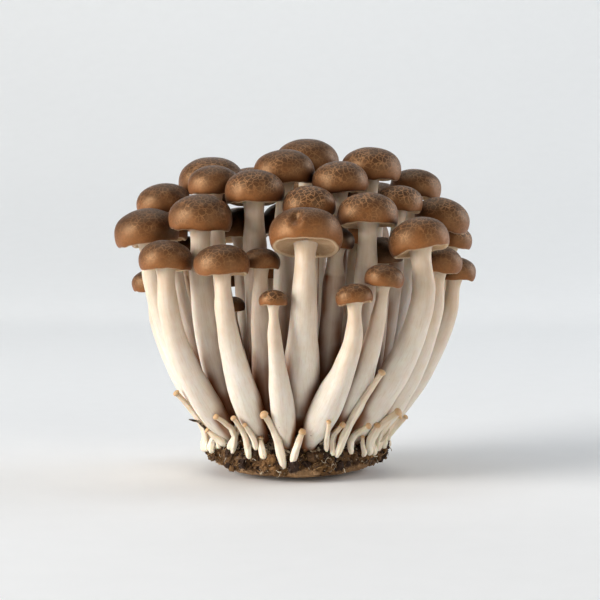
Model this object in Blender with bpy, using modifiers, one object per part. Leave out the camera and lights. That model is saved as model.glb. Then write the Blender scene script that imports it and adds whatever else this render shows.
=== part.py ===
"""A cluster of beech mushrooms on the plug of substrate it grew from.

Origin: the middle of the plug's flat underside. +Z is up, -Y is the side the cluster
is looked at from, +X is to its right. Lengths in the tables are millimetres.
"""
import bmesh
import bpy
import numpy as np
from mathutils import Vector

MM = 0.001

# Plug: a squat bowl of sawdust, (radius, height) from the underside's middle round to the top's.
PLUG = [(12, 0), (19, 0), (23, 0), (25.8, 1.4), (28.1, 4), (29, 7), (28.2, 9.4), (25, 11.4), (19, 13.4),
        (10.5, 15.1)]
PLUG_RIM = 5               # rows of PLUG from the widest one on are its top
PLUG_TOP = 15.6
PLUG_WIDEST = 29
PLUG_DEPTH = 0.95          # its size along Y, as a share of its size along X
PLUG_SIDES = 28
PLUG_LUMPS = 0.7           # how uneven its side is, below LUMPS_BELOW
LUMPS_BELOW = 6
PLUG_WAVES = [(3, 1.0, 0.6), (5, 0.7, 2.1), (9, 0.5, 4.0)]     # lumps round it, their share, their start
PLUG_COLOUR = (0.055, 0.03, 0.017)
MUSHROOM_COLOUR = (0.45, 0.33, 0.22)
PIN_COLOUR = (0.70, 0.58, 0.42)

# Mushrooms: middle of the cap (x, y, z), cap radius, the way the cap leans (x, y), foot (x, y),
# radius of the neck and of the belly of the stem.
MUSHROOMS = [
    # nearest row, from left to right
    ((-39.3, -34, 67.5), 8.2, (0.00, 0.08), (-20.0, -17.5), 3.1, 4.1),
    ((-22.0, -42, 66.4), 8.2, (0.00, 0.08), (-13.0, -22.0), 2.8, 4.5),
    ((-10.5, -32, 67.0), 5.7, (0.05, 0.05), (-8.5, -14.5), 2.6, 3.6),
    ((-6.8, -45, 55.9), 4.2, (0.00, 0.08), (-3.5, -24.5), 1.9, 3.6),
    ((2.9, -40, 75.2), 11.0, (0.02, 0.38), (0.6, -15.5), 3.4, 5.7),
    ((17.2, -45, 56.8), 5.5, (-0.16, 0.10), (5.0, -23.5), 2.5, 4.6),
    ((26.7, -42, 61.8), 5.9, (0.06, 0.05), (12.5, -21.5), 2.2, 4.2),
    ((37.2, -33, 72.7), 9.5, (-0.26, 0.20), (20.5, -16.0), 3.4, 4.6),
    ((44.0, -19, 66.5), 7.8, (0.00, 0.00), (24.5, -9.0), 3.2, 4.0),
    ((49.6, -7, 63.0), 6.6, (0.05, 0.00), (25.5, -2.0), 2.6, 3.5),
    # second row
    ((-46.6, -14, 75.6), 10.0, (-0.08, 0.00), (-25.0, -8.0), 3.3, 4.5),
    ((-29.1, -27, 80.2), 9.8, (0.00, 0.00), (-16.0, -10.5), 3.4, 4.1),
    ((-11.8, -22, 88.1), 9.3, (0.04, 0.00), (-11.0, -6.0), 3.4, 3.7),
    ((3.7, -24.5, 84.4), 8.2, (0.00, 0.00), (0.0, -8.0), 3.0, 3.5),
    ((12.2, -21.5, 73.4), 5.7, (0.04, 0.00), (8.0, -10.5), 3.2, 3.6),
    ((21.7, -28, 80.8), 9.2, (0.00, 0.15), (11.5, -13.5), 3.2, 3.8),
    ((32.5, -9, 84.8), 7.6, (0.05, 0.00), (18.5, -5.5), 2.7, 3.6),
    ((26.6, -18, 69.0), 7.0, (0.00, 0.00), (15.5, -12.5), 2.4, 3.4),
    # third row
    ((-42.8, 4, 85.0), 8.8, (-0.10, 0.00), (-20.5, -2.0), 2.9, 3.8),
    ((-25.7, -9, 90.5), 8.3, (0.00, 0.00), (-13.5, -2.5), 2.8, 3.5),
    ((-3.9, -7, 94.2), 9.7, (0.00, 0.00), (-4.0, -1.0), 3.1, 3.6),
    ((13.8, -12.5, 91.3), 8.9, (0.00, 0.00), (5.5, -4.0), 2.6, 3.4),
    ((24.3, 3, 95.7), 9.4, (0.05, 0.00), (13.0, 0.5), 2.7, 3.6),
    ((39.2, 16, 89.6), 8.5, (0.12, 0.05), (20.5, 7.5), 2.7, 3.7),
    ((47.2, 0, 79.6), 9.0, (0.26, 0.00), (24.5, 5.5), 2.8, 3.7),
    ((51.2, 17, 72.6), 6.8, (0.12, 0.05), (23.0, 11.0), 2.5, 3.4),
    # the top, and the short ones under it
    ((3.7, 13, 98.0), 10.4, (0.00, 0.00), (2.5, 4.0), 3.2, 3.7),
    ((-28.2, 14, 91.4), 10.8, (-0.06, 0.00), (-13.0, 4.5), 3.2, 3.8),
    ((-46.1, 8, 58.8), 6.4, (-0.10, 0.00), (-25.0, 4.0), 2.5, 3.4),
    ((-19.5, -18, 52.4), 4.4, (0.00, 0.00), (-14.5, -15.0), 1.8, 2.6),
    # far side
    ((-45.5, 20, 75.0), 8.0, (-0.16, 0.08), (-23.0, 10.0), 2.8, 3.6),
    ((-33.0, 31, 79.0), 8.8, (-0.08, 0.10), (-17.5, 12.5), 3.0, 3.9),
    ((-14.8, 29, 88.5), 9.4, (0.00, 0.05), (-8.0, 10.5), 3.1, 3.7),
    ((7.0, 30, 88.8), 9.6, (0.00, 0.05), (4.5, 10.5), 3.1, 3.7),
    ((26.0, 29, 83.0), 9.0, (0.08, 0.10), (15.0, 10.0), 3.0, 3.7),
    ((-1.0, 41, 77.5), 9.4, (0.00, 0.16), (-1.0, 17.0), 3.2, 4.2),
    ((-21.0, 41, 76.0), 8.4, (-0.05, 0.14), (-11.0, 17.5), 2.9, 4.1),
    ((21.5, 37, 74.5), 9.2, (0.06, 0.14), (9.5, 17.5), 3.0, 4.1),
    ((40.0, 27, 65.0), 7.6, (0.12, 0.08), (18.5, 16.0), 2.8, 3.9),
    ((-38.0, 33, 68.0), 6.8, (-0.10, 0.08), (-18.0, 17.5), 2.5, 3.7),
    ((-10.0, 43, 61.0), 6.6, (0.00, 0.10), (-5.5, 22.5), 2.4, 3.8),
    ((9.5, 44, 58.5), 7.0, (0.00, 0.10), (4.0, 23.0), 2.5, 4.0),
    ((28.0, 39, 57.5), 5.6, (0.08, 0.08), (13.5, 21.5), 2.1, 3.5),
    ((-24.0, 41, 58.0), 5.0, (-0.05, 0.08), (-12.0, 22.5), 1.9, 3.2),
]

# Pins, in the same form as the mushrooms.
PINS = [
    ((-9.0, -34.5, 21.3), 1.9, (-0.05, -0.05), (-6.5, -28.0), 1.5, 2.0),
    ((24.7, -37, 34.5), 1.8, (0.10, 0.00), (15.5, -24.5), 1.1, 1.9),
    ((30.3, -25, 21.5), 1.9, (0.30, 0.00), (23.5, -16.5), 1.4, 1.9),
    ((-36.0, -12, 26.5), 1.6, (-0.20, 0.00), (-26.0, -3.5), 1.1, 1.4),
    ((1.8, -31.5, 14.6), 1.9, (0.15, -0.25), (0.0, -28.0), 1.5, 1.8),
    ((14.0, -32.0, 17.5), 1.5, (0.20, -0.20), (11.0, -26.5), 1.1, 1.4),
    ((-25.0, -25, 20.0), 1.4, (-0.15, -0.10), (-19.0, -20.5), 1.2, 1.5),
    ((-18.0, -30, 21.0), 1.3, (-0.20, -0.10), (-12.5, -25.5), 1.2, 1.4),
    ((20.8, -30, 16.6), 1.7, (0.30, -0.15), (16.5, -25.0), 1.5, 2.0),
    ((33.5, -13, 25.0), 1.7, (0.30, 0.00), (26.0, -7.5), 1.2, 1.7),
    ((33.0, 9, 24.0), 1.8, (0.20, 0.10), (26.0, 6.5), 1.3, 1.7),
    ((17.5, 29, 22.0), 1.9, (0.10, 0.20), (14.5, 21.5), 1.4, 1.8),
    ((-17.0, 30, 26.0), 1.7, (-0.10, 0.20), (-14.5, 21.5), 1.2, 1.6),
]

# Stem: (share of its length, share of the belly's radius, share of the neck's radius).
STEM = [(0.0, 0.60, 0.00), (0.07, 0.80, 0.00), (0.20, 1.00, 0.00), (0.38, 0.92, 0.10),
        (0.58, 0.45, 0.55), (0.80, 0.08, 0.94), (1.0, 0.00, 1.06)]
# Cap, from the gills round the rim to the crown: (radius, height over the widest ring), shares of the
# cap's radius. The stem meets the gills at GILL_HEIGHT.
CAP = [(0.62, -0.31), (0.83, -0.45), (0.97, -0.26), (1.0, 0.0), (0.90, 0.27), (0.66, 0.52), (0.34, 0.67)]
CROWN = 0.72
GILL_HEIGHT = -0.27
PIN_CAP = [(1.0, 0.0), (0.86, 0.45)]
PIN_CROWN = 0.72

CAP_SIDES = 12             # sides of a turned mushroom
SMALL_CAP = 7              # no more cap radius than this, and it has SMALL_SIDES
SMALL_SIDES = 10
PIN_SIDES = 8

FOOT_LEAN = 2.2            # a stem leaves the plug leaning outwards this many times its mean lean
MOST_LEAN = 0.85           # but never more than this
FOOT_HANDLE = 0.33         # shares of a stem's rise that its line runs on straight from the foot
NECK_HANDLE = 0.36         # and from the neck
FOOT_REACH = 28.4          # how far out on the plug the outside of a foot may stand
FOOT_SHARE = 0.6           # the foot's radius, as a share of the belly's
FOOT_CLEAR = 0.40          # gap between a foot and the plug
FOOT_DEEP = 0.1            # how far a foot's middle is below its rim, as a share of the belly's radius
STEM_GAP = 0.45            # gap kept between two stems
CAP_GAP = 0.55             # gap kept round a cap

# How the stems are moved apart, a little each round.
STATIONS = 30              # places along each stem that are kept apart
ROUNDS = 420
LIST_ROUNDS = 12           # rounds for which one list of close places holds
CLOSE = 2.5                # gap at which two places are close
UPRIGHT = 0.2              # share of a push between two stems that may go up or down
HALF = 0.5                 # each of two things that touch makes half of the way
CAP_GIVES = 0.12           # share of a stem's push that its neighbour's cap takes back
ROUND_CAP = 7              # how far from a cap's rim its stems are looked at
ABOVE_CAP = 3              # and how far over and under it
MOST_PUSH = 0.8            # the furthest that anything moves in one round
DEEPEST = 2.5              # and the furthest out of a cap
HOMING = 0.01              # share of the way back to its place in the table
SHELL_SIDES = 10           # places round a cap that are kept off its neighbours
BALL_RISE = 0.07           # a cap is taken as a flattened ball: its middle over the widest ring
BALL_TALL = 0.68           # and its half height, as shares of the cap's radius

PATH_POINTS = 60           # points of the line that a stem is bent along
NECK_ROOM = 1.3            # what lies within this many neck radii, or BELLY_ROOM belly radii, is stem
BELLY_ROOM = 1.1
CLOSED_UP = 1e-5           # m: points of a turned solid nearer than this are one
TINY = 1e-6


def plug_top(x, y):
    """Height of the plug's top at (x, y)."""
    r = np.hypot(x, y / PLUG_DEPTH)
    top = [(0, PLUG_TOP)] + PLUG[:PLUG_RIM - 1:-1]
    return np.interp(r, [p[0] for p in top], [p[1] for p in top])


def stem_radius(t, neck, belly):
    """Radius at the share t of a stem's length."""
    shares = [s[0] for s in STEM]
    of_belly = np.interp(t, shares, [s[1] for s in STEM])
    of_neck = np.interp(t, shares, [s[2] for s in STEM])
    return of_belly * belly + of_neck * neck


def bezier_shares(t):
    """What each of a Bezier line's four control points counts for at the places in t."""
    return np.stack([(1 - t) ** 3, 3 * t * (1 - t) ** 2, 3 * t * t * (1 - t), t ** 3], 1)


def start_line(row):
    """The four control points of one stem's Bezier line, foot first."""
    (cx, cy, cz), cap, lean, (fx, fy), _, _ = row
    axis = np.array([lean[0], lean[1], 1.0])
    axis /= np.linalg.norm(axis)
    foot = np.array([fx, fy, plug_top(fx, fy) + FOOT_CLEAR])
    neck = np.array([cx, cy, cz]) + axis * GILL_HEIGHT * cap
    rise = neck[2] - foot[2]
    out = (neck[:2] - foot[:2]) * FOOT_LEAN / rise
    way = np.array([*out * min(1, MOST_LEAN / max(np.hypot(*out), TINY)), 1.0])
    return np.array([foot, foot + way * rise * FOOT_HANDLE, neck - axis * rise * NECK_HANDLE, neck])


def keep_apart(rows):
    """Every stem's control points, moved just enough that no stem or cap touches another."""
    lines = np.array([start_line(r) for r in rows])
    home = lines.copy()
    count = len(rows)
    t = np.linspace(0, 1, STATIONS)
    shares = bezier_shares(t)
    cap = np.array([r[1] for r in rows])
    farthest = FOOT_REACH - FOOT_SHARE * np.array([r[5] for r in rows])
    owner = np.repeat(np.arange(count), STATIONS)
    share = np.tile(shares, (count, 1))
    radius = np.array([stem_radius(t, r[4], r[5]) for r in rows]).reshape(-1)
    turn = np.linspace(0, 2 * np.pi, SHELL_SIDES, endpoint=False)
    shell = [(r * np.cos(a), r * np.sin(a), h) for r, h in CAP[1:6] for a in turn]
    shell = np.array(shell + [(0, 0, CROWN)])
    for step in range(ROUNDS):
        points = np.einsum("sk,nkd->nsd", shares, lines).reshape(-1, 3)
        axis = lines[:, 3] - lines[:, 2]
        axis /= np.linalg.norm(axis, axis=1)[:, None]
        centre = lines[:, 3] - axis * (GILL_HEIGHT * cap)[:, None]
        push = np.zeros_like(lines)
        if step % LIST_ROUNDS == 0:
            gap = np.linalg.norm(points[:, None] - points[None], axis=2)
            i, j = np.nonzero(gap < radius[:, None] + radius[None] + CLOSE)
            near = [(a, b) for a, b in zip(i, j) if owner[a] < owner[b]]
            near = np.array(near, int).reshape(-1, 2)
        # stem against stem
        a, b = near[:, 0], near[:, 1]
        d = points[a] - points[b]
        d[:, 2] *= UPRIGHT
        apart = np.linalg.norm(points[a] - points[b], axis=1)
        over = np.clip(radius[a] + radius[b] + STEM_GAP - apart, 0, None)
        d *= (HALF * over / np.maximum(np.linalg.norm(d, axis=1), TINY))[:, None]
        for k in range(4):
            np.add.at(push[:, k], owner[a], d * share[a, k:k + 1])
            np.add.at(push[:, k], owner[b], -d * share[b, k:k + 1])
        # caps against stems, and against each other's shells
        far = np.linalg.norm(centre[:, None] - centre[None], axis=2)
        for c in range(count):
            flat = np.linalg.norm(points[:, :2] - centre[c, :2], axis=1)
            level = abs(points[:, 2] - centre[c, 2]) < cap[c] + ABOVE_CAP
            s = np.nonzero((flat < cap[c] + ROUND_CAP) & level & (owner != c))[0]
            move = cap_push(points[s], radius[s] + CAP_GAP, centre[c], axis[c], cap[c])
            for k in range(4):
                np.add.at(push[:, k], owner[s], HALF * move * share[s, k:k + 1])
            push[c, 2:] -= CAP_GIVES * move.sum(0)
            for o in np.nonzero((far[c] < cap[c] + cap + ABOVE_CAP) & (np.arange(count) != c))[0]:
                spots = centre[o] + turned(shell * cap[o], axis[o])
                move = cap_push(spots, np.full(len(spots), CAP_GAP), centre[c], axis[c], cap[c])
                hit = np.linalg.norm(move, axis=1) > 0
                if hit.any():
                    mean_move = move[hit].sum(0) / hit.sum()
                    push[o, 2:] += HALF * mean_move
                    push[c, 2:] -= HALF * mean_move
        lines += np.clip(push, -MOST_PUSH, MOST_PUSH) + (home - lines) * HOMING
        foot = lines[:, 0]
        reach = np.hypot(foot[:, 0], foot[:, 1] / PLUG_DEPTH)
        foot[:, :2] *= np.minimum(1, farthest / reach)[:, None]
        foot[:, 2] = [plug_top(x, y) + FOOT_CLEAR for x, y in foot[:, :2]]
        lines[:, 1, 2] = np.maximum(lines[:, 1, 2], home[:, 1, 2])
    return lines


def turned(spots, axis):
    """Points given about +Z, turned to stand about axis."""
    side = np.cross([0.0, 1.0, 0.0], axis)
    side /= np.linalg.norm(side)
    return spots[:, :1] * side + spots[:, 1:2] * np.cross(axis, side) + spots[:, 2:] * axis


def cap_push(spots, clear, centre, axis, size):
    """How far each spot has to move to be clear of a cap, taken as a flattened ball."""
    q = spots - centre
    h = q @ axis - BALL_RISE * size
    tall = BALL_TALL * size
    out = q - (q @ axis)[:, None] * axis
    slope = out / size ** 2 + (h / tall ** 2)[:, None] * axis
    k = np.sqrt(np.maximum((out ** 2).sum(1) / size ** 2 + (h / tall) ** 2, TINY))
    length = np.maximum(np.linalg.norm(slope, axis=1), TINY)
    depth = clear - k * (k - 1) / length
    return slope / length[:, None] * np.clip(depth, 0, DEEPEST)[:, None]


def named_object(name, mesh, colour):
    """Links a mesh as a named object with its own material."""
    material = bpy.data.materials.new(name)
    material.use_nodes = True
    shader = material.node_tree.nodes["Principled BSDF"]
    shader.inputs["Base Color"].default_value = (*colour, 1)
    shader.inputs["Roughness"].default_value = 0.6
    mesh.materials.append(material)
    obj = bpy.data.objects.new(name, mesh)
    cluster.objects.link(obj)
    return obj


def turned_solid(profile, sides, foot, crown):
    """A closed solid turned about Z: profile (radius, height) from low to high, and its two poles."""
    mesh = bpy.data.meshes.new("profile")
    outline = [(0, foot)] + list(profile) + [(0, crown)]
    points = [(r, 0, z) for r, z in reversed(outline)]
    mesh.from_pydata(points, [(i, i + 1) for i in range(len(points) - 1)], [])
    obj = bpy.data.objects.new("profile", mesh)
    bpy.context.scene.collection.objects.link(obj)
    screw = obj.modifiers.new("turn", "SCREW")
    screw.steps = screw.render_steps = sides
    screw.use_merge_vertices = True
    screw.merge_threshold = CLOSED_UP
    screw.use_smooth_shade = True
    graph = bpy.context.evaluated_depsgraph_get()
    solid = bpy.data.meshes.new_from_object(obj.evaluated_get(graph))
    bpy.data.objects.remove(obj)
    bm = bmesh.new()
    bm.from_mesh(solid)
    bmesh.ops.remove_doubles(bm, verts=bm.verts, dist=CLOSED_UP)
    bmesh.ops.recalc_face_normals(bm, faces=bm.faces)
    bm.to_mesh(solid)
    bm.free()
    return solid


def mushroom(name, row, line, cap_profile, crown, sides, colour):
    """One fruiting body: a turned solid bent along its own line."""
    _, cap, _, _, neck, belly = row
    path = bezier_shares(np.linspace(0, 1, PATH_POINTS)) @ line
    along = np.concatenate([[0], np.cumsum(np.linalg.norm(np.diff(path, axis=0), axis=1))])
    tall = along[-1]
    widest = tall - GILL_HEIGHT * cap
    profile = [(stem_radius(s[0], neck, belly), s[0] * tall) for s in STEM]
    profile += [(r * cap, widest + h * cap) for r, h in cap_profile]
    profile = [(r * MM, z * MM) for r, z in profile]
    solid = turned_solid(profile, sides, -FOOT_DEEP * belly * MM, (widest + crown * cap) * MM)
    # the line's own axes are carried along it without twist, and the cap keeps the neck's
    ways = np.gradient(path, along, axis=0)
    ways /= np.linalg.norm(ways, axis=1)[:, None]
    side = np.cross([0.0, 1.0, 0.0], ways[0])
    side_at = []
    for way in ways:
        side = side - way * (side @ way)
        side /= np.linalg.norm(side)
        side_at.append(side)
    for v in solid.vertices:
        x, y, z = np.array(v.co) / MM
        in_stem = np.hypot(x, y) < max(neck * NECK_ROOM, belly * BELLY_ROOM) and z < tall
        at = np.clip(z, 0, tall) if in_stem else tall
        i = min(int(np.searchsorted(along, at)), len(along) - 1)
        k = max(i - 1, 0)
        f = 0 if i == k else (at - along[k]) / (along[i] - along[k])
        middle = path[k] * (1 - f) + path[i] * f
        way = ways[k] * (1 - f) + ways[i] * f
        way /= np.linalg.norm(way)
        across = side_at[k] * (1 - f) + side_at[i] * f
        across /= np.linalg.norm(across)
        place = middle + way * (z - at) + across * x + np.cross(way, across) * y
        lowest = plug_top(place[0], place[1]) + FOOT_CLEAR      # the foot sits down on the plug
        place[2] = max(place[2], lowest)
        v.co = Vector(place * MM)
    return named_object(name, solid, colour)


def plug():
    """The substrate: a turned bowl with an uneven side and a flat underside."""
    solid = turned_solid([(r * MM, z * MM) for r, z in PLUG], PLUG_SIDES, 0, PLUG_TOP * MM)
    for v in solid.vertices:
        turn = np.arctan2(v.co.y, v.co.x)
        r = np.hypot(v.co.x, v.co.y) / MM
        wave = sum(share * np.sin(lumps * turn + start) for lumps, share, start in PLUG_WAVES)
        uneven = PLUG_LUMPS * wave / PLUG_WIDEST * min(1, r / PLUG[2][0])
        out = 1 + uneven if v.co.z < LUMPS_BELOW * MM else 1
        v.co.x *= out
        v.co.y *= out * PLUG_DEPTH
    return named_object("substrate_plug", solid, PLUG_COLOUR)


for old in list(bpy.data.objects):
    bpy.data.objects.remove(old)
cluster = bpy.data.collections.new("beech_mushroom_cluster")
bpy.context.scene.collection.children.link(cluster)

plug()
lines = keep_apart(MUSHROOMS + PINS)
for n, row in enumerate(MUSHROOMS):
    sides = CAP_SIDES if row[1] > SMALL_CAP else SMALL_SIDES
    mushroom(f"mushroom_{n + 1:02d}", row, lines[n], CAP, CROWN, sides, MUSHROOM_COLOUR)
for n, row in enumerate(PINS):
    line = lines[len(MUSHROOMS) + n]
    mushroom(f"pin_{n + 1:02d}", row, line, PIN_CAP, PIN_CROWN, PIN_SIDES, PIN_COLOUR)
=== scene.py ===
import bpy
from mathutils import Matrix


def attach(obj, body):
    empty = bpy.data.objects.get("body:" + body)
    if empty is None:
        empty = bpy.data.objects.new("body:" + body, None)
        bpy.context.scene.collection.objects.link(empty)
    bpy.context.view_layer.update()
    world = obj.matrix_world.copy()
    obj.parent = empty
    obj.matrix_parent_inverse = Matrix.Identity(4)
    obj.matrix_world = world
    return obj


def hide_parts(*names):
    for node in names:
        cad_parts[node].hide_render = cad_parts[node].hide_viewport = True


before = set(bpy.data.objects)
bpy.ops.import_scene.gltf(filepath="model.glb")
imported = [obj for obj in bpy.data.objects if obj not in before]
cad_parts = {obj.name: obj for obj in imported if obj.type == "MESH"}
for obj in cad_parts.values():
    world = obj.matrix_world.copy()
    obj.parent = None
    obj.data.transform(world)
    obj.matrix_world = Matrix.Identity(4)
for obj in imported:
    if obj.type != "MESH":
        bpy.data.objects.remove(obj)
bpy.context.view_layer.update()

import math

import bmesh
import bpy
import numpy as np
from mathutils import Vector, noise
from mathutils.bvhtree import BVHTree

# ==== Plug of substrate ====
# The wad of wet sawdust and bran the cluster grew from, torn out of its growing bottle: dark,
# crumbly, drawn in at the foot, and flat underneath where it stands.

MM = 0.001
PLUG_MIDDLE = np.array([0.0, 0.0, 6.0])     # the plug is a round lump seen from here, mm
PLUG_ROWS = [(1, 0), (12, 0), (22.5, 0), (25.8, 1.4), (28.1, 4), (29, 7), (28.2, 9.4), (25, 11.4),
             (19, 13.4), (10.5, 15.1), (1, 15.6)]       # reach and height of each row, mm
PLUG_ROW_GAP = 0.5                          # mm between rows of points, and about that along a row
PLUG_SIDES = 352
LEAN_HIGH = [0, 2, 5, 9, 14]                # mm: at each height the torn face leans in or out,
LEAN_ASIDE = [-0.06, -0.03, 0.01, -0.05, -0.08]     # by these shares to left and right
LEAN_AHEAD = [0.11, 0.09, 0.0, -0.07, -0.08]        # and by these to front and back
RIM_HIGH, RIM_SUNK = [7, 10], 1.6           # mm: the top edge has sunk, by nothing at 7 and fully at 10
ROLL_WIDE, ROLL_PROUD = 5.0, 1.3            # mm: broad lumps of the torn face
GRAIN_WIDE, GRAIN_PROUD = 2.3, 2.0          # mm: its grains, each highest in its middle
GRAIN_LEVEL = 0.40                          # grain widths from its middle, where it is level with the face
PIT_WIDE, PIT_PROUD = 1.1, 0.8              # mm: small pits
GRAIN_TONE, GAP_TONE = 0.2, 0.25            # a grain's middle, and how much paler it is further out
PRESSED_HIGH, PRESSED_SHARE = 0.6, 0.25     # below this height the lumps were pressed nearly flat
STANDING_REACH = 23                         # mm: the foot touches the table out to here
STANDING_HIGH, EDGE_HIGH = 0.02, 0.3        # mm: no lower than this, within that reach and past it


def linear(code):
    """Linear colour, with alpha, of an sRGB hex code."""
    parts = [int(code[i:i + 2], 16) / 255 for i in (1, 3, 5)]
    return (*[c / 12.92 if c <= 0.04045 else ((c + 0.055) / 1.055) ** 2.4 for c in parts], 1.0)


def put(tree, kind, feeds=None, **settings):
    """Adds a node. feeds gives an input its value, or the output that drives it."""
    made = tree.nodes.new(kind)
    for key, value in settings.items():
        setattr(made, key, value)
    for key, value in (feeds or {}).items():
        if isinstance(value, bpy.types.NodeSocket):
            tree.links.new(value, made.inputs[key])
        else:
            made.inputs[key].default_value = value
    return made


def empty_material(name):
    """A material with no nodes yet, and its tree."""
    material = bpy.data.materials.new(name)
    material.use_nodes = True
    material.node_tree.nodes.clear()
    return material, material.node_tree


def speck(spot, size, seed=0.0):
    """Smooth noise from -1 to 1 whose lumps are about size mm across."""
    return noise.noise(Vector(spot) / size + Vector((seed, 1.7 * seed, 0.3 * seed)))


def skin(name, rows, marks, material):
    """A closed smooth mesh through rings of points in mm, lowest ring first, its ends drawn to poles."""
    count, sides = rows.shape[:2]
    points = np.concatenate([rows[:1].mean(1), rows.reshape(-1, 3), rows[-1:].mean(1)]) * MM
    k = np.arange(sides)
    after = (k + 1) % sides
    faces = [(0, 1 + b, 1 + a) for a, b in zip(k, after)]
    for row in range(count - 1):
        low = 1 + row * sides
        faces += np.stack([low + k, low + after, low + sides + after, low + sides + k], 1).tolist()
    low = 1 + (count - 1) * sides
    faces += [(low + a, low + b, len(points) - 1) for a, b in zip(k, after)]
    mesh = bpy.data.meshes.new(name)
    mesh.from_pydata(points.tolist(), [], faces)
    mesh.shade_smooth()
    for mark, values in marks.items():
        values = np.asarray(values, float)
        flat = values.reshape(count * sides, -1)
        flat = np.concatenate([flat[:sides].mean(0)[None], flat, flat[-sides:].mean(0)[None]])
        vector = flat.shape[1] == 3
        layer = mesh.attributes.new(mark, "FLOAT_VECTOR" if vector else "FLOAT", "POINT")
        layer.data.foreach_set("vector" if vector else "value", flat.ravel())
    mesh.materials.append(material)
    piece = bpy.data.objects.new(name, mesh)
    bpy.context.scene.collection.objects.link(piece)
    return piece


# Wet spent sawdust: matt and dark as coffee grounds, its larger bits tan, with pale mould between them
# and felting its top edge, and a smooth tan rind low down where it lay against its bottle.
sawdust, tree = empty_material("Spent sawdust and bran, wet")
place = put(tree, "ShaderNodeTexCoord").outputs["Object"]
tone = put(tree, "ShaderNodeAttribute", attribute_name="tone").outputs["Fac"]
bits = put(tree, "ShaderNodeTexNoise", {
    "Vector": place, "Scale": 900.0, "Detail": 5.0, "Roughness": 0.65})
patches = put(tree, "ShaderNodeTexNoise", {
    "Vector": place, "Scale": 190.0, "Detail": 3.0, "Roughness": 0.6})
high = put(tree, "ShaderNodeSeparateXYZ", {"Vector": place}).outputs["Z"]
low_down = put(tree, "ShaderNodeMapRange", {0: high, 1: 0.0005, 2: 0.009, 3: 0.34, 4: 0.0})
shade = put(tree, "ShaderNodeMath", {0: tone, 1: low_down.outputs[0]}, operation="ADD")
shade = put(tree, "ShaderNodeMath", {0: patches.outputs["Fac"], 1: 0.9, 2: shade.outputs[0]},
            operation="MULTIPLY_ADD")
brown = put(tree, "ShaderNodeMapRange", {0: shade.outputs[0], 1: 0.66, 2: 1.25, 3: 0.0, 4: 1.0})
dark = put(tree, "ShaderNodeMix", {0: bits.outputs["Fac"], 6: linear("#170D07"), 7: linear("#3C2413")},
           data_type="RGBA")
tan = put(tree, "ShaderNodeMix", {0: bits.outputs["Fac"], 6: linear("#573820"), 7: linear("#96703F")},
          data_type="RGBA")
colour = put(tree, "ShaderNodeMix", {0: brown.outputs[0], 6: dark.outputs[2], 7: tan.outputs[2]},
             data_type="RGBA")
mould = put(tree, "ShaderNodeTexNoise", {
    "Vector": place, "Scale": 330.0, "Detail": 6.0, "Roughness": 0.7})
felted = put(tree, "ShaderNodeMapRange", {0: high, 1: 0.0060, 2: 0.0105, 3: 0.0, 4: 0.17})
mould = put(tree, "ShaderNodeMath", {0: mould.outputs["Fac"], 1: felted.outputs[0]}, operation="ADD")
mould = put(tree, "ShaderNodeMapRange", {0: mould.outputs[0], 1: 0.61, 2: 0.69, 3: 0.0, 4: 0.9})
colour = put(tree, "ShaderNodeMix", {0: mould.outputs[0], 6: colour.outputs[2], 7: linear("#D2C3A9")},
             data_type="RGBA")
rind = put(tree, "ShaderNodeTexNoise", {"Vector": place, "Scale": 75.0, "Detail": 3.0})
rind_low = put(tree, "ShaderNodeMapRange", {0: high, 1: 0.0015, 2: 0.0055, 3: 0.10, 4: -0.35})
rind = put(tree, "ShaderNodeMath", {0: rind.outputs["Fac"], 1: rind_low.outputs[0]}, operation="ADD")
rind = put(tree, "ShaderNodeMapRange", {0: rind.outputs[0], 1: 0.52, 2: 0.60, 3: 0.0, 4: 0.75})
colour = put(tree, "ShaderNodeMix", {0: rind.outputs[0], 6: colour.outputs[2], 7: linear("#A88560")},
             data_type="RGBA")
rough = put(tree, "ShaderNodeMapRange", {0: bits.outputs["Fac"], 1: 0.3, 2: 0.7, 3: 0.55, 4: 0.95})
bump = put(tree, "ShaderNodeBump", {"Strength": 0.7, "Distance": 0.00035, "Height": bits.outputs["Fac"]})
shader = put(tree, "ShaderNodeBsdfPrincipled", {
    "Base Color": colour.outputs[2], "Roughness": rough.outputs[0], "Specular IOR Level": 0.35,
    "Normal": bump.outputs[0]})
put(tree, "ShaderNodeOutputMaterial", {"Surface": shader.outputs[0]})

cad_plug = bmesh.new()
cad_plug.from_mesh(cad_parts["substrate_plug"].data)
plug_surface = BVHTree.FromBMesh(cad_plug)
cad_plug.free()


def resampled(points, gap):
    """Points of a line, evenly spaced along it, gap apart."""
    points = np.asarray(points, float)
    along = np.concatenate([[0], np.cumsum(np.linalg.norm(np.diff(points, axis=0), axis=1))])
    at = np.linspace(0, along[-1], int(round(along[-1] / gap)) + 1)
    return np.stack([np.interp(at, along, points[:, k]) for k in range(points.shape[1])], 1)


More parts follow.
